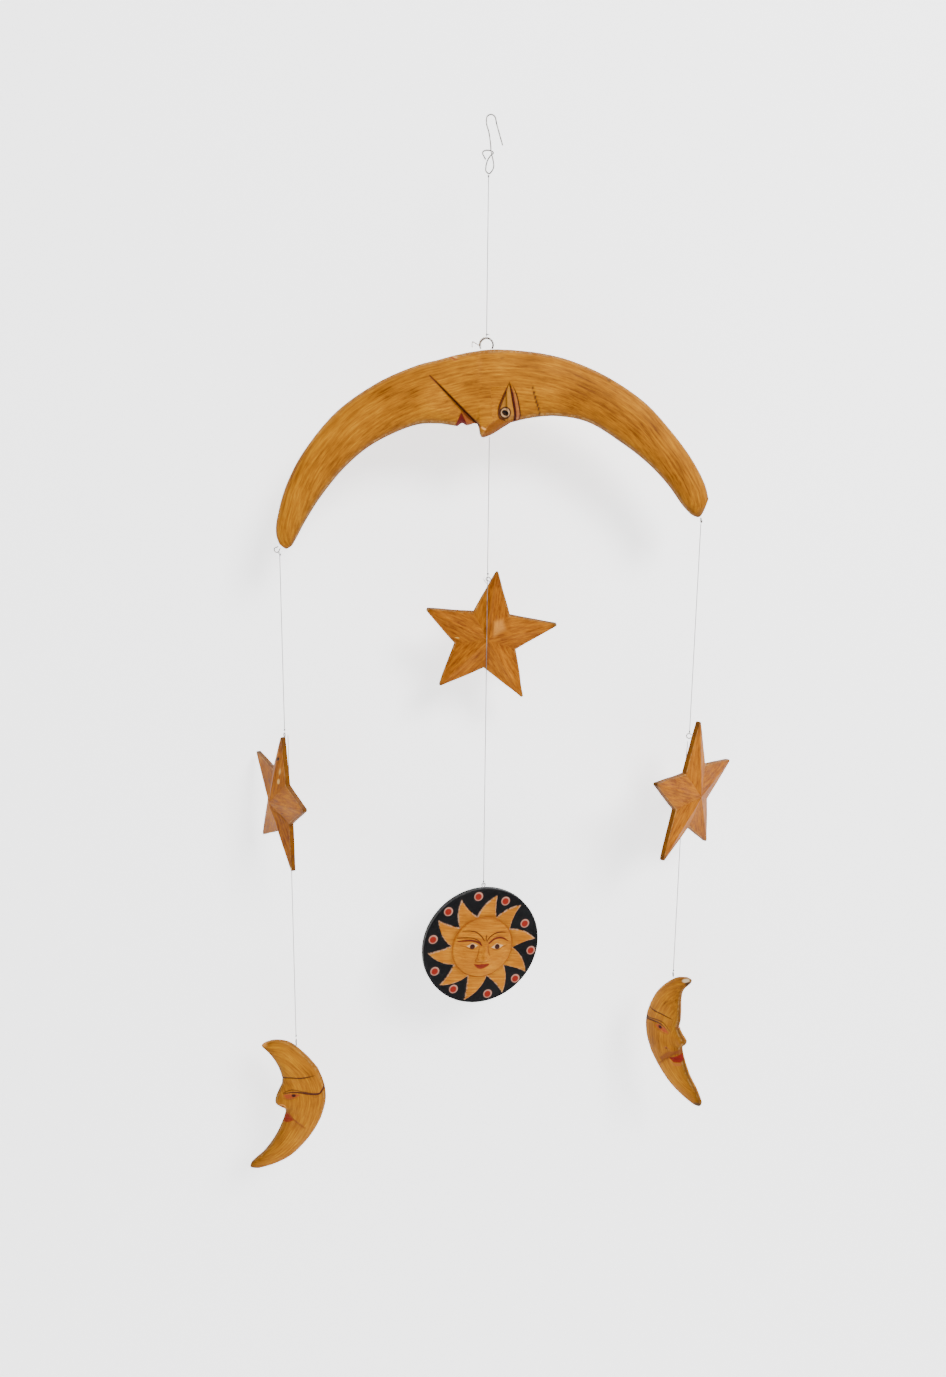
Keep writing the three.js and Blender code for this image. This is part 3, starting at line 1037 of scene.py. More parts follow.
@dataclass(frozen=True)
class Crescent(Carved):
    """A carved crescent with a profile face; millimetres, in its own frame.

    Pairs run from tip to tip, each the outer x and z and the inner x and z, and in the face
    also how square the carving is towards the inner edge.
    """

    node: str
    first_tip: Spot
    upper: tuple[Pair, ...]
    face: tuple[Pair, ...]
    lower: tuple[Pair, ...]
    last_tip: Spot
    features: tuple[Feature, ...]
    hanging: Hanging
    front: float
    back: float
    front_roundness: float
    back_roundness: float
    full_width: float
    fine: float
    coarse: float
    front_steps: int
    back_steps: int = 30
    worn_first: float = 0.0
    worn_last: float = 0.0
    hand: float = 0.18
    least: float = 0.6

    def columns(self) -> Grid:
        """Pairs close together along the crescent, with rounded ends, each with its squareness.

        Returns:
            Outer x and z, inner x and z, and the squareness, one row each.
        """
        def squares(pairs: Sequence[Pair]) -> list[list[float]]:
            """The pairs, each with a squareness."""
            return [list(p) if len(p) == 5 else [*p, self.front_roundness] for p in pairs]

        upper = catmull(squares(self.upper), 12)
        face = catmull(squares(self.face), 3) if len(self.face) > 1 else np.empty((0, 5))
        lower = catmull(squares(self.lower), 12)
        chain = np.vstack([upper, face, lower])
        middle_steps = np.linalg.norm(np.diff((chain[:, :2] + chain[:, 2:4]) / 2, axis=0), axis=1)
        edge_steps = np.maximum(np.linalg.norm(np.diff(chain[:, :2], axis=0), axis=1),
                                np.linalg.norm(np.diff(chain[:, 2:4], axis=0), axis=1))
        steps = np.maximum(middle_steps, edge_steps * 0.8)
        run = np.concatenate([[0], np.cumsum(steps)])
        first, last = run[len(upper) - 1], run[len(upper) + len(face)]
        margin = 4 * self.fine + 3
        places, here = [0.0], 0.0
        while here < run[-1]:
            near = first - margin - 8 < here < last + margin + 8
            here += self.fine if near else self.coarse
            places.append(min(here, run[-1]))
        columns = np.column_stack([np.interp(places, run, chain[:, k]) for k in range(5)])
        return np.vstack([self.cap(self.first_tip, columns[0]), columns,
                self.cap(self.last_tip, columns[-1])[::-1]])

    def cap(self, tip: Spot, pair: Grid) -> Grid:
        """Pairs that round the crescent off from a tip to its first full pair.

        Args:
            tip: the crescent's end.
            pair: its first full pair.

        Returns:
            The pairs, from the tip on.
        """
        middle = (pair[:2] + pair[2:4]) / 2
        half = (pair[2:4] - pair[:2]) / 2
        rows = []
        for f in 1 - np.cos(np.linspace(0, math.pi / 2, CAP_STEPS))[:-1]:
            centre = lerp(np.array(tip), middle, f)
            scale = f**CAP_ROUNDNESS
            rows.append([*(centre - half * scale), *(centre + half * scale), pair[4]])
        return np.array(rows)

    def rings(self) -> tuple[Grid, dict[str, Grid]]:
        """Points of the whole form, in its own frame, and what each of them carries.

        Returns:
            The points, and the attributes flow, shade and coat.
        """
        columns = self.columns()
        count = len(columns)
        turn = np.concatenate([np.linspace(0, math.pi, self.front_steps, endpoint=False),
                               np.linspace(math.pi, 2 * math.pi, self.back_steps, endpoint=False)])
        across = (1 - np.cos(turn)) / 2
        is_front = turn < math.pi
        outer, inner = columns[:, None, :2], columns[:, None, 2:4]
        flat = lerp(outer, inner, across[None, :, None])
        x, z = flat[..., 0], flat[..., 1]
        width = np.hypot(*(columns[:, :2] - columns[:, 2:4]).T)
        swell = np.minimum(1, (width / self.full_width) ** SWELL_POWER)[:, None]
        bulge = np.abs(2 * across - 1)[None, :]
        square = np.where(across[None, :] > 0.5, columns[:, 4:5], self.front_roundness)
        square = np.where(is_front[None, :], square, self.back_roundness)
        height = np.clip(1 - bulge**square, 0, 1) ** (1 / square) * swell
        y = np.where(is_front[None, :], -self.front * height, self.back * height)
        uneven = ripple(x, z, 26, len(self.node)) * self.hand * height
        y = y + uneven
        back_level = self.back * height
        carved = y.copy()
        coat = np.zeros((*x.shape, 4))
        for feature in self.features:
            carved = feature.carve(x, z, carved)
            coat = feature.paint(x, z, coat)
        carved = np.minimum(carved, back_level - self.least * height)
        y = np.where(is_front[None, :], carved, y)
        coat[:, ~is_front, 3] = 0
        points = np.stack([x, y, z], axis=-1)
        middle = (columns[:, :2] + columns[:, 2:4]) / 2
        run = np.concatenate([[0], np.cumsum(np.linalg.norm(np.diff(middle, axis=0), axis=1))])
        flow = np.stack([np.broadcast_to(run[:, None] / 10, x.shape), across * width[:, None] / 10 + 0 * x,
                         y / 10 + 5.0], axis=-1)
        edge = 1 - np.minimum(across, 1 - across) * 2
        near = np.minimum(across, 1 - across)[None, :] * width[:, None]
        # darker along both edges and most towards the inner edge: partly brown glaze, partly painted shade
        # on the rounded inner edge; the back a little darker all over
        dirt_and_shade = 0.5 * np.exp(-near / 1.6) + 0.55 * np.exp(-((1 - across)[None, :] * width[:, None]) / 5.0)
        dirt_and_shade = np.where(is_front[None, :], dirt_and_shade, 0.2 + 0 * x)
        ends = (np.exp(-run / WORN_REACH)[:, None] * self.worn_first
                + np.exp(-(run[-1] - run) / WORN_REACH)[:, None] * self.worn_last)
        shade = np.zeros((*x.shape, 4))
        shade[..., 1] = 0.25 * np.exp(-((edge - 0.93) / 0.03) ** 2)
        shade[..., 2] = np.clip(dirt_and_shade + ends, 0, 1)
        shade[..., 3] = 1
        log.info("%s: %d columns", self.node, count)
        return points, {"flow": flow, "shade": shade, "coat": coat}


DARK = (44, 20, 12)
MAROON = (58, 8, 6)
PINK = (138, 78, 54)


def big_moon() -> Crescent:
    """The crescent moon that carries the three strings, looking down to the left.

    Returns:
        The crescent, not yet built.
    """
    features: tuple[Feature, ...] = (
        Step((-41.0, -168.0), (-5.6, -201.8), (-10.4, -4.6), 30, -10.6, -1, 0.85, 1.0),
        Step((13.0, -176.0), (15.0, -203.0), (-10.2, -5.2), 11, -9.6, -1, 0.3),
        # the nose's underside facet, carved back and painted darker brown as shade
        Patch(((-4.6, -211.0), (1.0, -202.0), (8.6, -197.2), (19.0, -195.2), (21.0, -200.0), (6.0, -210.0)),
              (104, 54, 6), 0.8, 1.3, 0.8),
        Swell((1.2, -201.0), (9.8, -196.4), (1.0, 1.0), (0.3, 0.3)),
        Patch(((15.2, -173.4), (7.6, -190.5), (7.6, -195.6), (12.0, -199.5), (20.4, -197.6)),
              (158, 108, 40), 0.4, 1.4, 0.5),
        Swell((14.2, -182.0), (14.6, -194.0), (1.6, 3.0), (0.3, 1.2)),
        Stroke(((14.9, -173.4), (11.2, -182.6), (8.4, -190.6), (8.6, -196.4), (12.4, -198.4)), 1.7,
               (60, 22, 8), 0.6, 0.15, 0.6, 0.95),
        Stroke(((12.6, -181.6), (9.0, -181.6)), 0.5, (90, 46, 16), 0.2, 0.6, 0.1, 0.8),
        Stroke(((11.2, -184.8), (7.0, -184.4)), 0.5, (90, 46, 16), 0.2, 0.6, 0.1, 0.7),
        Stroke(((10.0, -187.8), (6.6, -187.0)), 0.5, (90, 46, 16), 0.2, 0.6, 0.1, 0.6),
        Spotted((12.7, -193.4), (4.2, 4.2), (52, 24, 10), 0, 0.2),
        Spotted((12.7, -193.4), (3.1, 3.1), (176, 138, 98), 0, -0.3),
        Spotted((12.7, -193.5), (2.6, 1.9), (6, 4, 6), -32, 0.0, 0.25),
        Patch(((17.4, -176.0), (21.6, -187.0), (23.4, -197.0), (20.2, -198.6), (18.4, -186.0)), PINK,
              0.4, 0.1, 0.55),
        Stroke(((15.1, -172.4), (17.0, -179.0), (18.6, -187.0), (19.8, -194.0), (19.6, -199.6)), 1.6,
               MAROON, 0.7, 0.1, 0.9),
        Stroke(((17.4, -174.6), (20.4, -181.0), (22.4, -188.6), (23.4, -194.6), (22.6, -198.0)), 0.8,
               (50, 18, 12), 0.5, 0.15, 0.7),
        Stroke(((31.0, -173.0), (32.8, -180.0), (34.6, -185.6), (36.7, -191.4), (36.8, -194.6),
                (35.2, -196.4)), 0.9, (52, 22, 14), 0.6, 0.15, 0.8),
        Patch(((-18.6, -193.4), (-22.8, -202.4), (-22.4, -206.0), (-13.6, -206.0), (-14.4, -201.4)),
              (80, 4, 4), 0.35, 0.4),
        Patch(((-18.0, -193.4), (-13.8, -204.0), (-7.4, -204.0), (-8.6, -201.0), (-16.6, -192.2)),
              (126, 58, 22), 0.4, 0.0, 0.7),
        # painted shadow: a dark brown line cut along the foot of the nose step
        Stroke(((-41.2, -168.6), (-32.4, -177.0), (-20.0, -188.8), (-6.2, -202.0)), 0.9, (58, 18, 5),
               0.3, 0.5, 0.9),
        Stroke(((-30.0, -154.0), (-26.4, -155.4), (-23.6, -157.4), (-21.0, -157.2)), 0.8, (128, 48, 26),
               0.4, 0.3, 0.3, 0.8),
        Stroke(((-25.6, -154.6), (-21.8, -156.2)), 0.8, (212, 150, 90), 0.0, 0.3, 0.3, 0.7),
        Spotted((-2.6, -204.4), (1.9, 0.9), (216, 152, 78), -28, 0.25, 0.3, 0.8),
        Stroke(((-3.4, -203.4), (-0.6, -204.4), (0.2, -206.0)), 0.4, (120, 68, 20), 0.2, 0.4, 0.4, 0.8),
        Spotted((158.0, -262.0), (4.0, 3.0), (112, 70, 24), 20, 0.0, 1.2, 0.7),
        Spotted((161.0, -251.0), (1.6, 1.0), (96, 58, 20), 60, 0.0, 0.5, 0.8),
        Spotted((86.0, -170.6), (1.0, 1.4), (84, 52, 20), 40, 0.2, 0.3, 0.8),
        Spotted((10.0, -156.0), (1.4, 0.6), (110, 66, 22), 10, 0.1, 0.4, 0.7),
    )
    return Crescent(
        "crescent_moon", (-147.2, -292.0),
        ((-152.2, -288.4, -142.8, -289.4), (-154.3, -281.0, -138.6, -282.2),
         (-153.2, -269.5, -132.2, -270.7),
         (-146.2, -246.5, -120.7, -253.4), (-132.6, -221.6, -104.6, -234.1), (-109.0, -194.0, -86.7,
                 -218.7),
         (-80.0, -173.8, -67.0, -208.0), (-53.3, -161.9, -49.0, -201.8), (-36.0, -157.2, -33.0, -201.2)),
        ((-26.0, -154.4, -21.4, -202.9, 2.3), (-19.0, -152.8, -18.0, -200.6, 2.6),
         (-14.5, -151.9, -14.6, -202.3, 3.4),
         (-8.0, -150.8, -7.2, -201.0, 4.2), (-4.0, -150.2, -4.4, -210.1, 4.6), (1.5, -149.7, 1.4,
                 -209.3, 4.0),
         (7.0, -149.5, 6.2, -206.8, 3.4)),
        ((17.0, -149.8, 17.0, -199.9), (38.0, -151.9, 33.0, -196.3), (60.0, -157.0, 52.0, -195.2),
         (86.0, -167.8, 74.0, -199.6), (112.0, -184.2, 98.0, -213.6), (131.0, -202.8, 117.0, -227.5),
         (147.0, -222.0, 132.0, -242.2), (158.2, -240.2, 143.5, -257.0), (162.3, -252.4, 150.0, -263.6)),
        (157.0, -265.4), features, Hanging(), 10.5, 8.5, 2.5, 3.4, 44, 0.32, 1.3, 148, worn_last=0.5)


def left_moon() -> Crescent:
    """The small moon on the left string, looking left.

    Returns:
        The crescent, not yet built.
    """
    features: tuple[Feature, ...] = (
        Step((-16.0, -57.8), (6.0, -76.0), (-3.0, -5.6), 14, -5.6, -1, 0.75),
        Swell((-7.5, -47.6), (0.0, -46.6), (2.6, 2.4), (-0.9, -0.7)),
        Swell((-15.0, -46.0), (-16.0, -54.0), (3.0, 4.0), (0.3, 1.1)),
        Swell((2.0, -56.0), (3.0, -60.0), (8.0, 7.0), (0.7, 0.7)),
        Swell((-11.6, -58.2), (-9.4, -57.6), (1.8, 1.6), (0.7, 0.6)),
        Stroke(((-13.4, -32.6), (-5.0, -31.2), (4.0, -31.2), (15.0, -29.4)), 1.0, DARK, 0.4, 0.9, 0.2),
        Stroke(((-11.4, -45.8), (-6.0, -42.6), (-1.4, -42.0), (8.0, -44.0), (18.0, -45.8)), 0.6, DARK,
               0.3, 0.5, 0.6),
        Stroke(((-10.6, -46.4), (-4.0, -44.4), (3.0, -44.4), (10.0, -45.6), (17.6, -46.2),
                (21.0, -43.0), (22.8, -39.6)), 1.4, (58, 22, 14), 0.5, 0.4, 1.0),
        Stroke(((12.0, -47.4), (15.6, -48.6), (18.0, -48.0)), 0.6, (100, 52, 20), 0.0, 0.3, 0.3, 0.6),
        Patch(((-11.6, -47.6), (-6.0, -46.2), (-0.6, -45.6), (3.4, -46.6), (-1.0, -48.6),
               (-7.6, -50.4)), (140, 52, 30), 0.5, 0.0, 0.8),
        Spotted((-2.4, -47.2), (1.8, 1.3), (40, 14, 12), 10, 0.0, 0.3),
        Stroke(((-12.0, -49.6), (-6.0, -50.6), (0.6, -48.4)), 0.7, (120, 58, 26), 0.2, 0.3, 0.3, 0.7),
        Spotted((-12.2, -57.8), (1.4, 0.6), (92, 34, 16), -12, 0.5, 0.3),
        Stroke(((-15.6, -56.8), (-12.0, -55.8), (-9.4, -57.2), (-9.8, -59.6)), 0.7, (200, 130, 70),
               -0.2, 0.4, 0.4, 0.7),
        Patch(((-9.8, -65.6), (-6.6, -64.0), (-4.2, -66.8), (-2.4, -69.8), (-8.2, -72.4),
               (-11.8, -72.4)), (112, 22, 10), 0.5, 0.3, 0.9),
        Stroke(((-11.0, -69.6), (-6.0, -68.4)), 0.6, (110, 16, 14), 0.3, 0.5, 0.3),
        # painted shade: brown along the cheek step below the nose, spreading softly at its lower end
        Stroke(((-10.6, -62.6), (-5.8, -66.4), (-1.0, -71.2), (5.4, -74.6)), 1.4, (122, 66, 22), 0.0,
               0.4, 0.2, 0.65),
        Spotted((-1.0, -75.0), (6.0, 3.0), (120, 66, 22), -30, 0.0, 2.6, 0.4),
        Spotted((4.0, -83.0), (2.6, 5.0), (110, 64, 22), -30, 0.0, 2.4, 0.35),
        Spotted((-26.5, -3.0), (3.0, 2.0), (196, 132, 60), 10, 0.0, 1.2, 0.6),
        Spotted((17.8, -77.4), (0.9, 2.2), (60, 34, 14), -28, 0.2, 0.3, 0.9),
        Spotted((15.2, -81.6), (0.8, 1.6), (66, 38, 14), -30, 0.2, 0.3, 0.8),
        Spotted((-1.6, -3.6), (1.6, 0.8), (70, 42, 16), -20, 0.2, 0.3, 0.8),
        Spotted((22.6, -39.0), (1.0, 2.4), (70, 28, 16), 0, 0.0, 0.4, 0.8),
    )
    return Crescent(
        "moon_left", (-28.2, -4.2),
        ((-24.4, -1.6, -27.4, -6.4), (-16.2, 0.1, -22.4, -11.4), (-5.0, -2.2, -17.6, -18.4),
         (7.5, -13.0, -14.0, -26.4),
         (17.2, -25.0, -12.2, -33.6)),
        ((20.6, -33.6, -12.6, -38.6), (22.4, -40.2, -15.4, -44.6), (23.3, -47.2, -18.2, -52.0),
         (23.3, -52.6, -17.6, -57.4), (22.6, -57.4, -11.4, -61.0), (21.6, -61.8, -10.2, -64.4, 2.1)),
        ((19.1, -69.8, -12.3, -71.4), (13.8, -80.4, -17.0, -82.6), (5.9, -91.9, -23.2, -93.6),
         (-6.0, -104.6, -30.2, -102.9),
         (-20.0, -112.9, -35.6, -108.0), (-33.0, -117.6, -40.0, -112.4)),
        (-41.0, -117.0), features, Hanging((-149.7, 0, -691.3)), 5.4, 4.0, 2.3, 3.2, 25, 0.34, 0.6, 100,
        worn_first=0.3, worn_last=0.4, hand=0.14)


def right_moon() -> Crescent:
    """The small moon on the right string, looking right.

    Returns:
        The crescent, not yet built.
    """
    features: tuple[Feature, ...] = (
        Step((14.6, -54.6), (-6.0, -76.0), (-3.0, -5.6), 14, -5.6, 1, 0.75),
        Swell((-9.0, -44.6), (0.0, -46.0), (2.6, 2.2), (-0.9, -0.7)),
        Swell((9.5, -44.0), (12.6, -52.0), (2.6, 3.4), (0.5, 1.3)),
        Swell((-6.0, -58.0), (-7.0, -62.0), (7.0, 6.0), (0.7, 0.7)),
        Swell((1.6, -59.4), (4.0, -60.0), (1.6, 1.4), (0.8, 0.6)),
        Stroke(((-20.6, -31.6), (-13.0, -32.6), (-5.0, -32.8), (3.4, -34.0)), 0.9, DARK, 0.4, 0.3, 0.4),
        Stroke(((-24.0, -40.6), (-18.0, -40.8), (-10.6, -39.4), (-4.0, -39.8), (2.2, -45.0)), 0.6, DARK,
               0.3, 0.9, 0.3),
        Stroke(((-24.0, -42.6), (-19.4, -42.6), (-12.0, -41.6), (-6.0, -42.0), (-1.0, -45.0)), 1.2,
               (56, 26, 14), 0.4, 1.0, 0.3),
        Spotted((-22.4, -41.8), (3.0, 2.4), (48, 26, 12), 0, 0.0, 0.6, 0.9),
        Patch(((-12.4, -44.6), (-7.6, -42.8), (-2.2, -44.2), (1.4, -47.6), (-3.8, -47.6),
               (-9.0, -46.4)), (148, 56, 32), 0.5, 0.0, 0.8),
        Spotted((-7.2, -44.8), (1.8, 1.4), (38, 14, 12), 0, 0.0, 0.3),
        Stroke(((-11.6, -46.0), (-4.6, -48.4), (0.8, -48.2)), 0.6, (120, 58, 26), 0.2, 0.3, 0.3, 0.6),
        Spotted((0.4, -60.0), (1.4, 0.6), (80, 32, 16), 30, 0.5, 0.3),
        Stroke(((-2.6, -62.4), (0.6, -59.0), (3.4, -60.6)), 0.7, (150, 84, 34), -0.2, 0.3, 0.4, 0.6),
        # painted shade: soft brown along the cheek step below the nose
        Patch(((-5.6, -71.4), (-2.2, -66.6), (2.2, -62.8), (8.2, -60.4), (13.2, -58.0), (12.4, -62.0),
               (6.0, -64.8),
               (0.6, -68.8), (-3.4, -73.6)), (108, 54, 22), 1.0, 0.3, 0.75),
        Patch(((2.6, -68.4), (9.2, -64.6), (13.6, -61.0), (14.4, -65.4), (13.2, -69.0), (7.6, -70.4)),
              (110, 12, 8), 0.4, 0.2, 0.95),
        Stroke(((3.4, -67.8), (8.8, -67.0), (14.2, -66.4)), 0.7, (96, 10, 12), 0.3, 0.4, 0.8),
        Patch(((3.0, -70.2), (8.0, -71.2), (13.4, -69.8), (13.6, -71.6), (8.6, -73.0)), (146, 72, 40),
              0.5, 0.0, 0.6),
        Spotted((12.8, 2.4), (3.0, 1.4), (206, 186, 150), 20, 0.3, 0.5, 0.8),
        Spotted((14.6, 0.4), (2.6, 1.2), (46, 34, 24), 30, 0.3, 0.4, 0.85),
        Spotted((29.6, -99.0), (2.6, 1.6), (60, 46, 28), 10, 0.0, 0.7, 0.85),
        Spotted((7.0, -40.8), (0.7, 1.8), (110, 60, 24), 0, 0.2, 0.4, 0.7),
        Spotted((-14.0, -76.0), (2.6, 0.9), (130, 62, 26), -30, 0.0, 0.5, 0.6),
    )
    return Crescent(
        "moon_right", (16.8, 3.6),
        ((12.0, 4.5, 15.2, -0.6), (2.8, 1.0, 9.6, -8.0), (-6.6, -7.2, 7.9, -16.2),
         (-14.6, -17.6, 8.2, -25.6),
         (-20.0, -29.0, 8.4, -34.6)),
        ((-22.6, -37.4, 7.2, -41.2), (-23.6, -43.6, 10.8, -46.4), (-23.7, -49.4, 15.0, -50.6),
         (-23.2, -54.0, 14.0, -54.2), (-22.2, -58.6, 11.4, -57.4), (-20.8, -63.0, 12.6, -63.6, 2.1)),
        ((-17.2, -70.9, 15.6, -71.1), (-10.8, -79.0, 19.7, -79.1), (-2.6, -87.1, 23.4, -84.2),
         (6.5, -93.8, 27.0, -88.6),
         (17.2, -98.8, 30.0, -93.4), (25.6, -101.4, 32.2, -97.4)),
        (31.0, -101.0), features, Hanging((155.7, 0, -632.0),
                turn=-44), 5.4, 4.0, 2.3, 3.2, 25, 0.34, 0.6, 100,
        worn_first=0.4, worn_last=0.5, hand=0.14)


# ---------------------------------------------------------------- stars
@dataclass(frozen=True)
class Star(Carved):
    """A five-armed star with sharp ridges and a flat back; millimetres, in its own frame."""

    node: str
    hanging: Hanging
    relief: float
    arms: tuple[float, ...]
    notches: tuple[float, ...]
    features: tuple[Feature, ...] = ()
    worn: tuple[float, ...] = (0.6, 0.6, 0.6, 0.6, 0.6)
    edge: float = 3.4
    tip: float = 2.0
    flank_steps: int = 26
    tip_steps: int = 4
    rings_out: int = 64

    def outline(self) -> tuple[Grid, Grid, Grid]:
        """Points round the edge, which arm each is on, and how far down its flank it lies.

        Returns:
            The edge's points, their arms, and 0 at a tip to 1 at a notch.
        """
        corners, arm_of, down = [], [], []
        for k, arm in enumerate(self.arms):
            tip = math.radians(72 * k)
            side = math.atan2(self.tip / 2, arm)
            reach = math.hypot(arm, self.tip / 2)
            left = np.array((reach * math.sin(tip - side), reach * math.cos(tip - side)))
            right = np.array((reach * math.sin(tip + side), reach * math.cos(tip + side)))
            before, after = math.radians(72 * k - 36), math.radians(72 * k + 36)
            low = self.notches[k - 1] * np.array((math.sin(before), math.cos(before)))
            high = self.notches[k] * np.array((math.sin(after), math.cos(after)))
            for t in np.arange(self.flank_steps) / self.flank_steps:
                corners.append(lerp(low, left, t))
                down.append(1 - t)
            for t in np.arange(self.tip_steps) / self.tip_steps:
                swing = math.sin(math.pi * t) * 0.5
                corners.append(lerp(left, right, t) * (1 + swing / arm))
                down.append(0.0)
            for t in np.arange(self.flank_steps) / self.flank_steps:
                corners.append(lerp(right, high, t))
                down.append(t)
            arm_of += [k] * (2 * self.flank_steps + self.tip_steps)
        return np.array(corners), np.array(arm_of), np.array(down)

    def rings(self) -> tuple[Grid, dict[str, Grid]]:
        """Points of the whole star, in its own frame, and what each of them carries.

        Returns:
            The points, and the attributes flow, shade and coat.
        """
        edge_points, arm_of, down = self.outline()
        half = self.edge / 2
        out = 1 - (1 - np.linspace(0, 1, self.rings_out)) ** 1.25
        levels, flats = [], []
        reach = np.hypot(*edge_points.T)
        soft = 0.45
        for t in out:
            scale = t * (1 - soft / reach)
            flats.append(edge_points * scale[:, None])
            levels.append(-half - self.relief * (1 - t))
        for fraction in (0.35, 0.75, 1.0):
            flats.append(edge_points * (1 - soft / reach * (1 - fraction))[:, None])
            levels.append(np.full(len(reach), -half + soft * fraction**2))
        for fraction in (0.0, 0.35, 0.7, 1.0):
            flats.append(edge_points.copy())
            levels.append(np.full(len(reach), lerp(-half + soft + 0.05, half - soft, fraction)))
        for t in (0.995, 0.97, 0.9, 0.75, 0.5, 0.25, 0.0):
            flats.append(edge_points * t)
            levels.append(np.full(len(reach), half))
        flat = np.array(flats)
        y = np.array([np.broadcast_to(v, reach.shape) for v in levels]).astype(float)
        x, z = flat[..., 0], flat[..., 1]
        front = np.zeros(len(flats), dtype=bool)
        front[: self.rings_out] = True
        inner = np.clip(np.hypot(x, z) / np.maximum(reach[None, :], 1e-6), 0, 1)
        uneven = ripple(x, z, 17, len(self.node) + int(self.relief * 10))
        facet = np.sin(math.pi * np.abs(down))[None, :] * inner * 0.35
        y[front] += (0.22 * uneven + facet)[front] * (1 - inner[front] ** 8)
        wobble = 1 + 0.012 * ripple(x, z, 30, 5) * (inner > 0.3)
        coat = np.zeros((*x.shape, 4))
        for feature in self.features:
            y[front] = feature.carve(x, z, y)[front]
            coat = feature.paint(x, z, coat)
        coat[~front, :, 3] = 0
        tips = np.radians(72 * arm_of)[None, :]
        along = x * np.sin(tips) + z * np.cos(tips)
        aside = x * np.cos(tips) - z * np.sin(tips)
        points = np.stack([x * wobble, y, z * wobble], axis=-1)
        flow = np.stack([along / 10, aside / 10 + arm_of * 7.0, y / 10 + 3.0], axis=-1)
        to_edge = reach[None, :] * (1 - inner)
        shade = np.zeros((*x.shape, 4))
        side_wall = ~front & (np.arange(len(flats)) < self.rings_out + 7)
        lengths = np.array(self.arms)[arm_of][None, :]
        worn = np.array(self.worn)[arm_of][None, :] * np.exp(-(lengths - along) / 2.4) * (along > 0)
        shade[..., 1] = 0.35 * np.exp(-((to_edge - 0.9) / 0.6) ** 2) * front[:, None]
        shade[..., 2] = np.clip(0.32 * np.exp(-to_edge / 2.2) + worn + 0.45 * side_wall[:, None], 0, 1)
        shade[..., 3] = 1
        return points, {"flow": flow, "shade": shade, "coat": coat}


CENTER_HANGING = Hanging((2.7, 8.0, -357.2), 0, 10, 6.7)
LEFT_HANGING = Hanging((-158.0, 7.0, -488.8), -60, 0, 10)
RIGHT_HANGING = Hanging((161.4, 1.0, -478.2), 49, 2, 2.7)


def stars() -> list[Star]:
    """The three stars.

    Returns:
        The stars, not yet built.
    """
    center = (
        Stroke(((-0.6, 46.0), (-0.2, 24.0), (-0.4, 2.0)), 1.6, (120, 66, 18), 0.25, 0.3, 0.5, 0.55),
        Patch(((2.6, 14.0), (9.0, 16.0), (12.0, 9.0), (4.0, 3.0)), (214, 146, 60), 2.0, 0.0, 0.4),
        Spotted((-23.0, -3.0), (1.6, 0.5), (226, 176, 84), 0, 0.2, 0.3, 0.8),
        Spotted((4.5, 17.0), (0.8, 1.6), (120, 66, 20), 10, 0.2, 0.4, 0.7),
        Stroke(((0.5, -2.0), (1.5, -22.0)), 3.2, (104, 48, 14), 0.0, 0.3, 0.8, 0.5),
    )
    left = (
        Spotted((0.2, 36.4), (2.6, 1.3), (44, 24, 10), 42, 0.7, 0.4, 0.95),
        Stroke(((2.6, 38.0), (-1.4, 34.6)), 0.6, (50, 28, 10), 0.4),
        Spotted((6.0, 20.0), (1.4, 2.0), (222, 176, 100), 0, 0.0, 0.6, 0.6),
        Spotted((5.4, 28.0), (0.9, 2.4), (220, 176, 104), 0, 0.0, 0.6, 0.5),
        Stroke(((6.0, -4.4), (16.0, -5.0), (26.0, -10.0)), 0.7, (110, 66, 20), 0.4, 0.2, 0.2, 0.7),
        Spotted((32.4, -43.6), (2.2, 1.2), (224, 196, 140), 20, 0.3, 0.5, 0.9),
        Spotted((28.0, -34.0), (1.0, 3.4), (104, 60, 18), -35, 0.0, 0.8, 0.5),
    )
    right = (
        Patch(((46.0, 17.6), (51.0, 16.4), (50.0, 13.0), (45.0, 14.2)), (134, 76, 18), 0.6, 0.1, 0.9),
        Spotted((0.6, 36.0), (1.2, 1.0), (128, 74, 20), 0, 0.2, 0.4, 0.7),
        Spotted((-13.0, 11.6), (2.6, 1.0), (116, 66, 18), -48, 0.1, 0.8, 0.6),
        Spotted((-32.0, -43.0), (1.0, 0.8), (92, 54, 20), 0, 0.3, 0.3, 0.8),
    )
    return [
        Star("star_center", CENTER_HANGING, 7.0, (50.6, 52.0, 55.4, 53.6, 50.7),
             (24.0, 23.4, 25.2, 26.2, 23.0),
             center, (0.2, 1.1, 0.6, 0.8, 1.0)),
        Star("star_left", LEFT_HANGING, 8.2, (54.0, 52.8, 55.2, 57.6, 57.4), (25.2, 26.3, 26.6, 26.4, 26.0),
             left, (0.5, 0.5, 0.9, 0.4, 1.0)),
        Star("star_right", RIGHT_HANGING, 8.2, (58.1, 59.4, 55.0, 56.7, 57.6),
             (27.0, 27.0, 26.6, 25.2, 24.0),
             right, (0.9, 0.5, 0.6, 0.9, 0.8)),
    ]


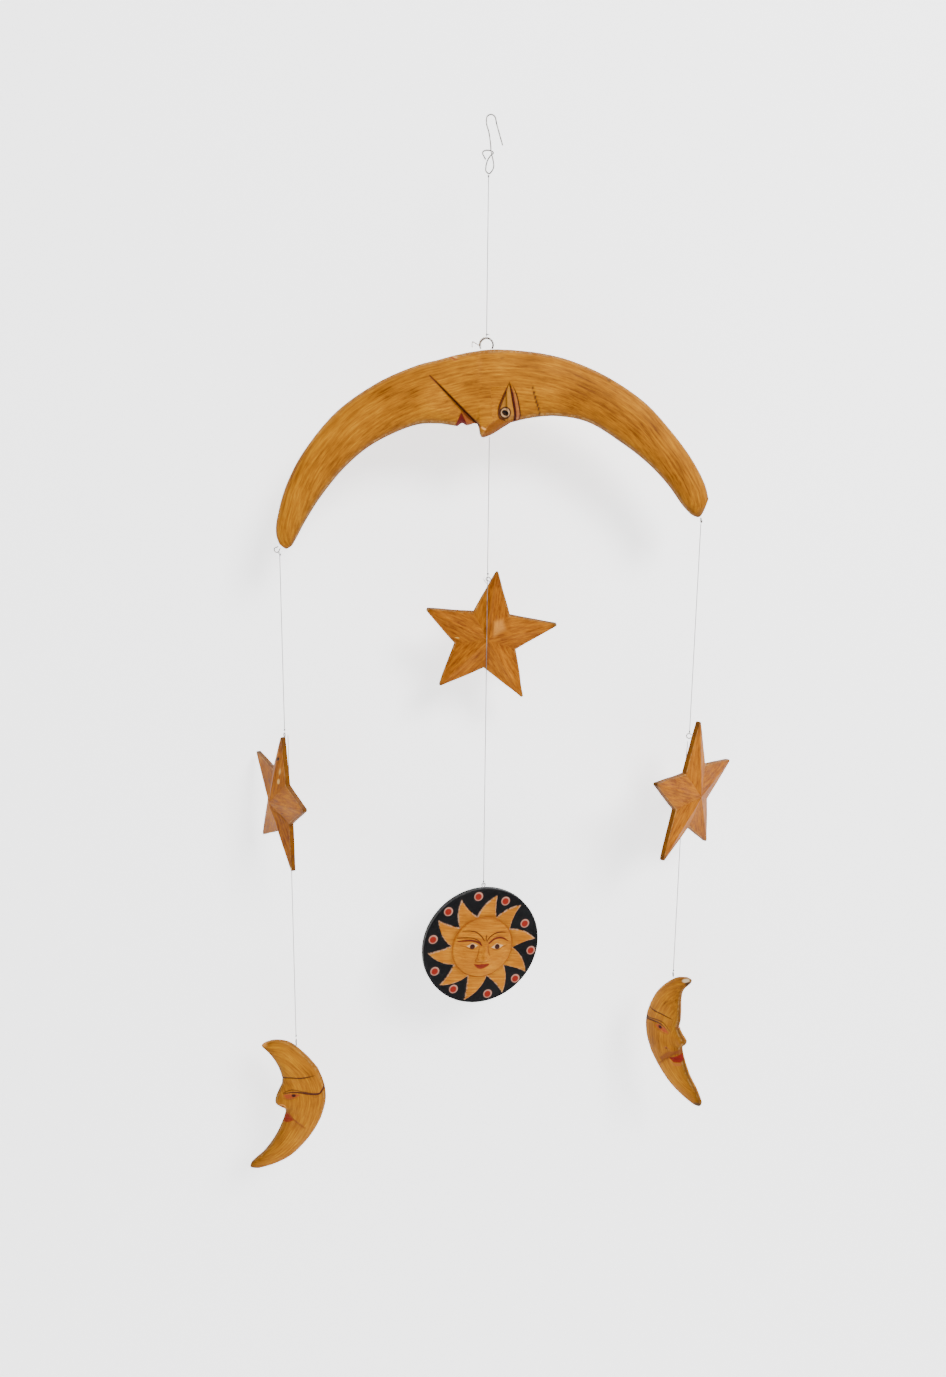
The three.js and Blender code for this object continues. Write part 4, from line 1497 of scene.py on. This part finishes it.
# ---------------------------------------------------------------- sun disc
@dataclass(frozen=True)
class SunDisc(Carved):
    """A black disc with a raised, swirled sun round a domed face; millimetres."""

    node: str = "sun_disc"
    slot: Slot = Slot.BLACK
    hanging: Hanging = field(default_factory=lambda: Hanging((0.0, -1.6, -604.8), 18.4))
    radius: float = 48.2
    thickness: float = 6.0
    rim: float = 0.8
    ray_height: float = 1.0
    ray_foot: float = 26.0
    first_foot: float = -9.2
    face: float = 25.0
    face_height: float = 3.4
    face_edge: float = 1.7
    face_roll: float = 10.0
    around: int = 520
    rings_out: int = 118
    tips: tuple[Spot, ...] = (
        (43.7, 16.6), (44.8, 46.2), (45.0, 88.9), (46.0, 125.6), (45.6, 157.2), (46.0, 198.2), (44.6,
                231.4),
        (44.3, 270.3), (44.6, 306.5), (44.8, 337.4))
    dots: tuple[Spot, ...] = (
        (42.9, 355.8), (41.1, 28.4), (39.3, 67.7), (43.0, 102.3), (43.1, 137.7), (42.0, 172.6), (40.6,
                215.3),
        (41.9, 248.2), (41.9, 286.0), (43.4, 320.0))

    @staticmethod
    def polar(radius: float, degrees: float) -> Spot:
        """A place from its distance and its angle clockwise from the top."""
        a = math.radians(degrees)
        return radius * math.sin(a), radius * math.cos(a)

    def ray_chain(self) -> Grid:
        """The rays' outline, each with a bowed long edge and a slightly hollow short one.

        Returns:
            The outline's points, one row each.
        """
        chain: list[Grid] = []
        for k, (reach, tip) in enumerate(self.tips):
            foot = np.array(self.polar(self.ray_foot, self.first_foot + RAY_STEP * k))
            next_foot = np.array(self.polar(self.ray_foot, self.first_foot + RAY_STEP * (k + 1)))
            end = np.array(self.polar(reach, tip))
            bow = np.array(self.polar(reach * 0.84, lerp(self.first_foot + RAY_STEP * k, tip, 0.40)))
            hollow = np.array(self.polar(reach * 0.77, tip + 1.5))
            for t in np.arange(8) / 8:
                chain.append((1 - t) ** 2 * foot + 2 * t * (1 - t) * bow + t**2 * end)
            for t in np.arange(6) / 6:
                chain.append((1 - t) ** 2 * end + 2 * t * (1 - t) * hollow + t**2 * next_foot)
        return np.array(chain)

    def features(self) -> tuple[Feature, ...]:
        """The carved and painted face.

        Returns:
            The features, in the order they are laid on.
        """
        brow, lid, shade = (52, 14, 6), (78, 16, 8), (92, 42, 8)
        return (
            Swell((-9.5, 4.6), (-8.0, 4.2), (5.6, 4.4), (-0.8, -0.8)),
            Swell((11.5, 3.0), (13.0, 3.4), (5.0, 5.0), (-0.8, -0.8)),
            Swell((-10.4, 2.0), (-7.6, 1.8), (3.2, 2.6), (0.5, 0.5)),
            Swell((11.0, -1.0), (13.6, -1.0), (2.8, 3.0), (0.5, 0.5)),
            Swell((2.4, 6.0), (0.8, -9.4), (1.5, 2.7), (0.7, 1.9)),
            Swell((0.9, -9.2), (0.9, -9.8), (2.6, 2.6), (0.8, 0.8)),
            Swell((-3.6, -9.2), (-3.4, -9.6), (1.6, 1.6), (1.0, 1.0)),
            Swell((4.6, -9.8), (4.4, -10.2), (1.5, 1.5), (0.9, 0.9)),
            Swell((-13.0, -6.0), (-12.0, -8.0), (5.4, 5.4), (0.6, 0.6)),
            Swell((13.6, -7.0), (12.4, -9.0), (5.0, 5.0), (0.6, 0.6)),
            Swell((-4.6, -15.0), (5.2, -15.4), (1.6, 1.6), (0.7, 0.7)),
            Swell((-1.0, -21.0), (0.4, -21.0), (3.4, 3.4), (0.5, 0.5)),
            Stroke(((-16.8, 16.0), (-10.6, 15.6), (-5.4, 13.9), (-1.2, 9.8), (0.9, 6.4)), 0.75, brow,
                   0.35, 0.5, 0.8),
            Stroke(((3.0, 5.6), (6.4, 8.9), (10.4, 10.9), (14.6, 11.2), (18.9, 10.4)), 0.75, brow, 0.35,
                   0.8, 0.4),
            Stroke(((2.9, 10.6), (2.3, 6.4)), 0.7, brow, 0.2, 0.4, 0.7),
            Stroke(((-21.4, 10.8), (-14.6, 10.4), (-8.9, 9.4), (-4.4, 7.2), (-1.6, 4.0)), 0.7, brow,
                   0.35, 0.6, 0.7),
            Stroke(((-20.6, 8.0), (-13.6, 7.8), (-8.4, 7.0), (-4.0, 5.2), (-1.2, 2.6)), 1.5, lid, 0.35,
                   0.5, 0.7),
            Stroke(((5.2, 3.4), (8.6, 5.6), (12.6, 6.6), (17.0, 5.8), (21.6, 2.6)), 1.5, lid, 0.35, 0.8,
                   0.3),
            Stroke(((8.6, 7.0), (13.0, 8.2), (18.4, 7.0)), 0.5, shade, 0.15, 0.3, 0.3, 0.7),
            Patch(((-13.6, 3.2), (-8.6, 5.2), (-4.4, 3.0), (-8.2, 0.6)), (204, 166, 120), 0.4, -0.1, 0.75),
            Patch(((7.0, -0.4), (11.8, 2.2), (17.2, -0.2), (12.0, -2.6)), (204, 166, 120), 0.4, -0.1, 0.75),
            Spotted((-8.9, 2.4), (2.2, 2.1), (38, 10, 14), 0, 0.0, 0.3),
            Spotted((11.9, -0.4), (2.2, 2.1), (38, 10, 14), 0, 0.0, 0.3),
            Stroke(((-18.6, 4.2), (-13.6, 2.4), (-9.0, 0.2), (-4.0, 1.0)), 0.5, shade, 0.2, 0.3, 0.3, 0.8),
            Stroke(((5.6, -0.6), (11.4, -3.0), (16.8, -1.2), (21.0, 0.0)), 0.5, shade, 0.2, 0.3, 0.3, 0.8),
            Stroke(((-3.0, 2.6), (-3.8, -2.6), (-5.0, -7.6), (-6.2, -9.0)), 0.7, shade, 0.4, 0.2, 0.7, 0.7),
            Stroke(((4.2, 2.8), (4.4, -3.0), (5.8, -7.2)), 1.0, (112, 58, 18), 0.4, 0.6, 0.4, 0.75),
            Stroke(((-6.6, -9.2), (-5.6, -11.2), (-3.6, -11.6), (-1.0, -12.0), (2.6, -12.0),
                    (5.4, -11.6)), 0.7, (96, 44, 16), 0.5, 0.5, 0.5, 0.8),
            Stroke(((-4.8, -8.0), (-3.6, -9.4)), 0.6, (110, 56, 18), 0.2, 0.4, 0.4, 0.7),
            Patch(((-7.6, -12.9), (-3.0, -13.5), (-1.2, -13.2), (0.6, -13.5), (5.2, -14.2),
                   (2.6, -16.8), (-1.4, -17.9),
                   (-4.8, -16.4)), (104, 16, 8), 0.4, 0.0, 0.95, True),
            Stroke(((-7.4, -13.2), (-2.0, -14.8), (5.0, -14.6)), 0.6, (92, 16, 14), 0.3, 0.4, 0.4),
        )

    def rings(self) -> tuple[Grid, dict[str, Grid]]:
        """Points of the whole disc, in its own frame, and what each of them carries.

        Returns:
            The points, and the attributes flow, shade and coat.
        """
        half = self.thickness / 2
        angle = np.linspace(0, 2 * math.pi, self.around, endpoint=False)
        flat_edge = self.radius - self.rim
        radii = list(np.linspace(0, 1, self.rings_out) ** 0.92 * flat_edge)
        front_count = len(radii)
        levels = [-half] * front_count
        for t in (0.3, 0.6, 0.85, 1.0):
            radii.append(flat_edge + self.rim * math.sin(t * math.pi / 2))
            levels.append(-half + self.rim * (1 - math.cos(t * math.pi / 2)))
        for t in (0.33, 0.66, 1.0):
            radii.append(self.radius)
            levels.append(lerp(-half + self.rim, half - self.rim, t))
        for t in (0.3, 0.7, 1.0):
            radii.append(flat_edge + self.rim * math.cos(t * math.pi / 2))
            levels.append(half - self.rim + self.rim * math.sin(t * math.pi / 2))
        for t in (0.97, 0.8, 0.6, 0.4, 0.2, 0.0):
            radii.append(flat_edge * t)
            levels.append(half)
        r = np.array(radii)[:, None]
        x, z = r * np.sin(angle), r * np.cos(angle)
        y = np.array(levels, dtype=float)[:, None] + 0 * x
        front = np.arange(len(radii)) < front_count
        chain = self.ray_chain()
        d, _ = chain_distance(x[front], z[front], np.vstack([chain, chain[:1]]))
        signed = np.where(inside_chain(x[front], z[front], chain), -d, d)
        in_ray = smoothstep(0.28, -0.32, signed)
        uneven = ripple(x, z, 15, 11)
        y[front] -= self.ray_height * in_ray * (1 + 0.12 * uneven[front])
        rf = np.broadcast_to(r, x.shape)[front]
        dome = self.face_edge + (self.face_height - self.face_edge) * (1 - np.clip(rf / self.face, 0,
                1) ** 2.2)
        on_face = smoothstep(self.face + 0.1, self.face - 0.7, rf)
        y[front] = lerp(y[front], -half - dome, on_face)
        groove = np.exp(-((rf - self.face - 0.1) / 0.55) ** 2)
        y[front] += 0.55 * groove
        roll = math.radians(self.face_roll)
        fx = x * math.cos(roll) - z * math.sin(roll)
        fz = x * math.sin(roll) + z * math.cos(roll)
        coat = np.zeros((*x.shape, 4))
        for feature in self.features():
            masked = feature.carve(x, z, y)
            y[front] = lerp(y[front], masked[front], on_face)
            fresh = feature.paint(x, z, coat)
            coat[front] = lerp(coat[front], fresh[front], on_face[..., None])
        groove_mask = np.zeros(x.shape)
        groove_mask[front] = groove * 0.55
        coat = lay_on(coat, (110, 44, 14), groove_mask)
        for reach, at in self.dots:
            spot = self.polar(reach, at)
            pale = Spotted(spot, (3.6, 3.6), (170, 124, 106), 0, -0.12, 0.35, 0.95)
            red = Spotted((spot[0] - 0.15, spot[1] - 0.2), (2.8, 2.8), (122, 24, 10), 0, 0.0, 0.4)
            y[front] = pale.carve(x, z, y)[front]
            coat = red.paint(x, z, pale.paint(x, z, coat))
        coat[~front, :, 3] = 0
        golden = np.zeros(x.shape)
        golden[front] = np.maximum(in_ray, smoothstep(self.face + 0.6, self.face - 0.2, rf))
        shade = np.zeros((*x.shape, 4))
        shade[..., 0] = 1 - golden
        lip = np.zeros(x.shape)
        lip[front] = np.exp(-((signed + 0.1) / 0.4) ** 2) * smoothstep(self.face - 1, self.face + 1.5, rf)
        shade[..., 1] = 0.9 * lip
        dirt_and_shade = np.zeros(x.shape)
        # painted shade: the rays darker round the foot of the raised face
        dirt_and_shade[front] = 0.3 * np.exp(-np.abs(rf - self.face - 1.6) / 1.6) * in_ray
        shade[..., 2] = dirt_and_shade
        shade[..., 3] = 1
        flow = np.stack([fx / 10, fz / 10 + 2.0, y / 10], axis=-1)
        return np.stack([x, y, z], axis=-1), {"flow": flow, "shade": shade, "coat": coat}


# ---------------------------------------------------------------- camera, lights, studio
@dataclass(frozen=True)
class Studio:
    """The camera, the lights and the pale wall and floor; metres."""

    lens: float = 27.451
    camera_at: Point = (-0.008208, -0.780, -0.231624)
    pitch: float = 11.9
    roll: float = 0.60
    wall_y: float = 0.062
    floor_z: float = -1.25
    wall_size: float = 6
    floor_size: float = 8

    def make_camera(self) -> None:
        """The camera, looking slightly down at the mobile."""
        down, tip = math.radians(self.pitch), math.radians(self.roll)
        up0 = np.array((0.0, math.sin(down), math.cos(down)))
        right = math.cos(tip) * np.array((1.0, 0.0, 0.0)) + math.sin(tip) * up0
        up = -math.sin(tip) * np.array((1.0, 0.0, 0.0)) + math.cos(tip) * up0
        back = np.cross(right, up)
        frame = Matrix([[right[k], up[k], back[k]] for k in range(3)])
        deselect()
        bpy.ops.object.camera_add(location=self.camera_at)
        camera = bpy.context.active_object
        camera.rotation_euler = frame.to_euler()
        camera.data.lens = self.lens
        camera.data.sensor_width = 36
        camera.data.clip_start = 0.01
        camera.data.clip_end = 30
        bpy.context.scene.camera = camera
        deselect()

    def make_light(self, name: str, at: Point, aim: Point, size: float, power: float) -> None:
        """A soft square light at one point, turned to another.

        Args:
            name: its name.
            at, aim: where it stands, and what it points to.
            size, power: its side and its watts.
        """
        bpy.ops.object.light_add(type="AREA", location=at)
        lamp = bpy.context.active_object
        lamp.name = name
        lamp.data.shape = "SQUARE"
        lamp.data.size = size
        lamp.data.energy = power
        direction = np.array(aim) - np.array(at)
        z = -direction / np.linalg.norm(direction)
        x = np.cross((0.0, 0.0, 1.0), z)
        x /= np.linalg.norm(x)
        y = np.cross(z, x)
        lamp.rotation_euler = Matrix([[x[k], y[k], z[k]] for k in range(3)]).to_euler()

    def make_stage(self) -> None:
        """The wall close behind the mobile and the floor below it."""
        deselect()
        bpy.ops.mesh.primitive_plane_add(size=self.wall_size, location=(0, self.wall_y, -0.6),
                rotation=(math.pi / 2, 0, 0))
        wall = bpy.context.active_object
        wall.name = "studio_wall"
        wall.data.materials.append(StudioPaint("wall_white", one_sided=True, glow=1.6).make())
        bpy.ops.mesh.primitive_plane_add(size=self.floor_size, location=(0, 0, self.floor_z))
        floor = bpy.context.active_object
        floor.name = "studio_floor"
        floor.data.materials.append(StudioPaint("floor_white").make())
        deselect()

    def make_lights(self) -> None:
        """A large key from the upper right, a weak fill and an even white surround."""
        self.make_light("key", (0.85, -1.5, 0.75), (0.0, 0.0, -0.4), 0.6, 62)
        self.make_light("fill", (-1.1, -1.7, 0.0), (0.0, 0.0, -0.4), 1.6, 6)
        world = bpy.data.worlds.new("studio_air")
        world.use_nodes = True
        world.node_tree.nodes["Background"].inputs["Color"].default_value = (1, 1, 1, 1)
        world.node_tree.nodes["Background"].inputs["Strength"].default_value = 0.6
        bpy.context.scene.world = world


LINES = (
    Line("line_top", ((-1.2, 0, -34.55), (-1.2, 0, -60), (-1.2, 0, -90), (-1.2, 0, -120),
            (-1.2, 0, -140.95)),
         ((-1.2, 0, -35.6), (-1.1, 0, -139.6)),
         (((-1.2, -0.1, -139.2), (-0.2, -0.3, -139.4), (0.9, -0.3, -139.9)),)),
    Line("line_center_upper", ((1.7, 0, -209.9), (1.7, 0, -240), (1.7, 0, -275), (1.7, 0, -309.2)),
         ((1.9, 0, -309.0),), (((1.9, -0.4, -309.6), (1.8, -0.8, -311.4), (1.7, -1.2, -313.2)),
                               ((1.6, -1.4, -316.4), (0.2, -1.3, -314.8), (-1.4, -1.1, -312.6)))),
    Line("line_center_lower", ((1.7, -1.2, -313.2), (1.7, -2.2, -322), (1.7, -2.2, -357), (1.7, -1.8, -400),
                               (1.7, -1.6, -470), (1.7, -1.6, -551.5)),
         ((1.7, -1.6, -551.0),), (((1.7, -1.6, -551.4), (1.4, -1.9, -553.2), (1.7, -2.4, -553.6),
                 (2.0, -1.9, -553.2)),)),
    Line("line_left_upper", ((-152.2, 0, -296.4), (-152.2, 0, -330), (-152.2, 0, -380),
            (-152.2, 0, -430.2)),
         ((-151.9, 0, -296.3), (-152.2, 0, -430.0)),
         (((-151.9, 0, -296.4), (-152.4, -0.2, -294.8), (-153.6, -0.1, -294.6), (-152.8, 0.2, -295.6)),)),
    Line("line_left_lower", ((-149.7, 0, -434.2), (-149.7, 0, -500), (-149.7, 0, -600),
            (-149.7, 0, -687.6)),
         ((-149.7, 0, -687.4),), ()),
    Line("line_right_upper", ((157.9, 0, -270.8), (157.9, 0, -310), (157.9, 0, -370), (157.9, 0, -428.4)),
         ((158.4, 0, -268.9), (157.9, 0, -428.2)), ()),
    Line("line_right_lower", ((157.0, 0, -435.6), (156.2, 0, -452), (155.3, 0, -490), (155.3, 0, -560),
            (155.3, 0, -626.2)),
         ((155.3, 0, -626.0),), ()),
)

EYES = (
    WireEye("tip_eye_left", (-152.4, 0, -291.0), (-0.72, 0, -0.69), (0.69, 0, -0.72), 1.9, 2.6),
    WireEye("tip_eye_right", (157.7, 0, -266.2), (0.1, 0, -0.995), (0, 1, 0), 1.5, 2.2),
    WireEye("disc_eye", (1.7, -1.6, -556.2), (0, 0, 1), (0.95, 0.31, 0), 1.4, 2.4),
    WireEye("moon_eye_left", (-149.7, 0, -696.4), (0, 0, 1), (0, 1, 0), 1.4, 4.6),
    WireEye("moon_eye_right", (155.3, 0, -631.4), (0, 0, 1), (0, 1, 0), 1.4, 2.2),
    WireEye("star_eye_center", (-4.0, 0, 44.0), (-0.93, 0, 0.37), (0.37, 0, 0.93), 1.5, 1.9,
            CENTER_HANGING),
    WireEye("star_eye_left", (0.4, 1.0, 54.35), (0, 0, 1), (1, 0, 0), 1.5, 1.9, LEFT_HANGING),
    WireEye("star_eye_right", (-3.2, 2.1, 46.3), (-0.5, 0.87, 0), (0, 0, 1), 1.9, 2.5, RIGHT_HANGING),
)


STAR_TONES = ((84, 34, 1), (134, 74, 2), (172, 104, 8))


def main() -> None:
    """Builds the mobile piece by piece and reports each."""
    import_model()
    deselect()
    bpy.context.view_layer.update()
    studio = Studio()
    studio.make_camera()
    line_paint = ThinLine("nylon_line_finish").make()
    for line in LINES:
        log.info("%s", line.make(line_paint).name)
    studio.make_stage()
    studio.make_lights()
    steel = BentWire("steel_wire_finish").make()
    brass = BentWire("brown_wire_finish", (150, 118, 78), (92, 62, 34)).make()
    wirework = Wirework()
    wirework.make_hook(steel)
    wirework.make_ring(steel, brass)
    for eye in EYES:
        log.info("%s", eye.make(steel).name)
    ochre = CarvedPaint("ochre_paint_finish").make()
    for crescent in (big_moon(), left_moon(), right_moon()):
        log.info("%s", crescent.make(ochre).name)
    for star in stars():
        paint = CarvedPaint(f"{star.node}_finish", *STAR_TONES).make()
        log.info("%s", star.make(paint).name)
    log.info("%s", SunDisc().make(CarvedPaint("sun_disc_finish", (116, 60, 2), (156, 92, 6), (186, 120, 18),
                                              worn=(176, 140, 112)).make()).name)


if __name__ == "__main__":
    main()
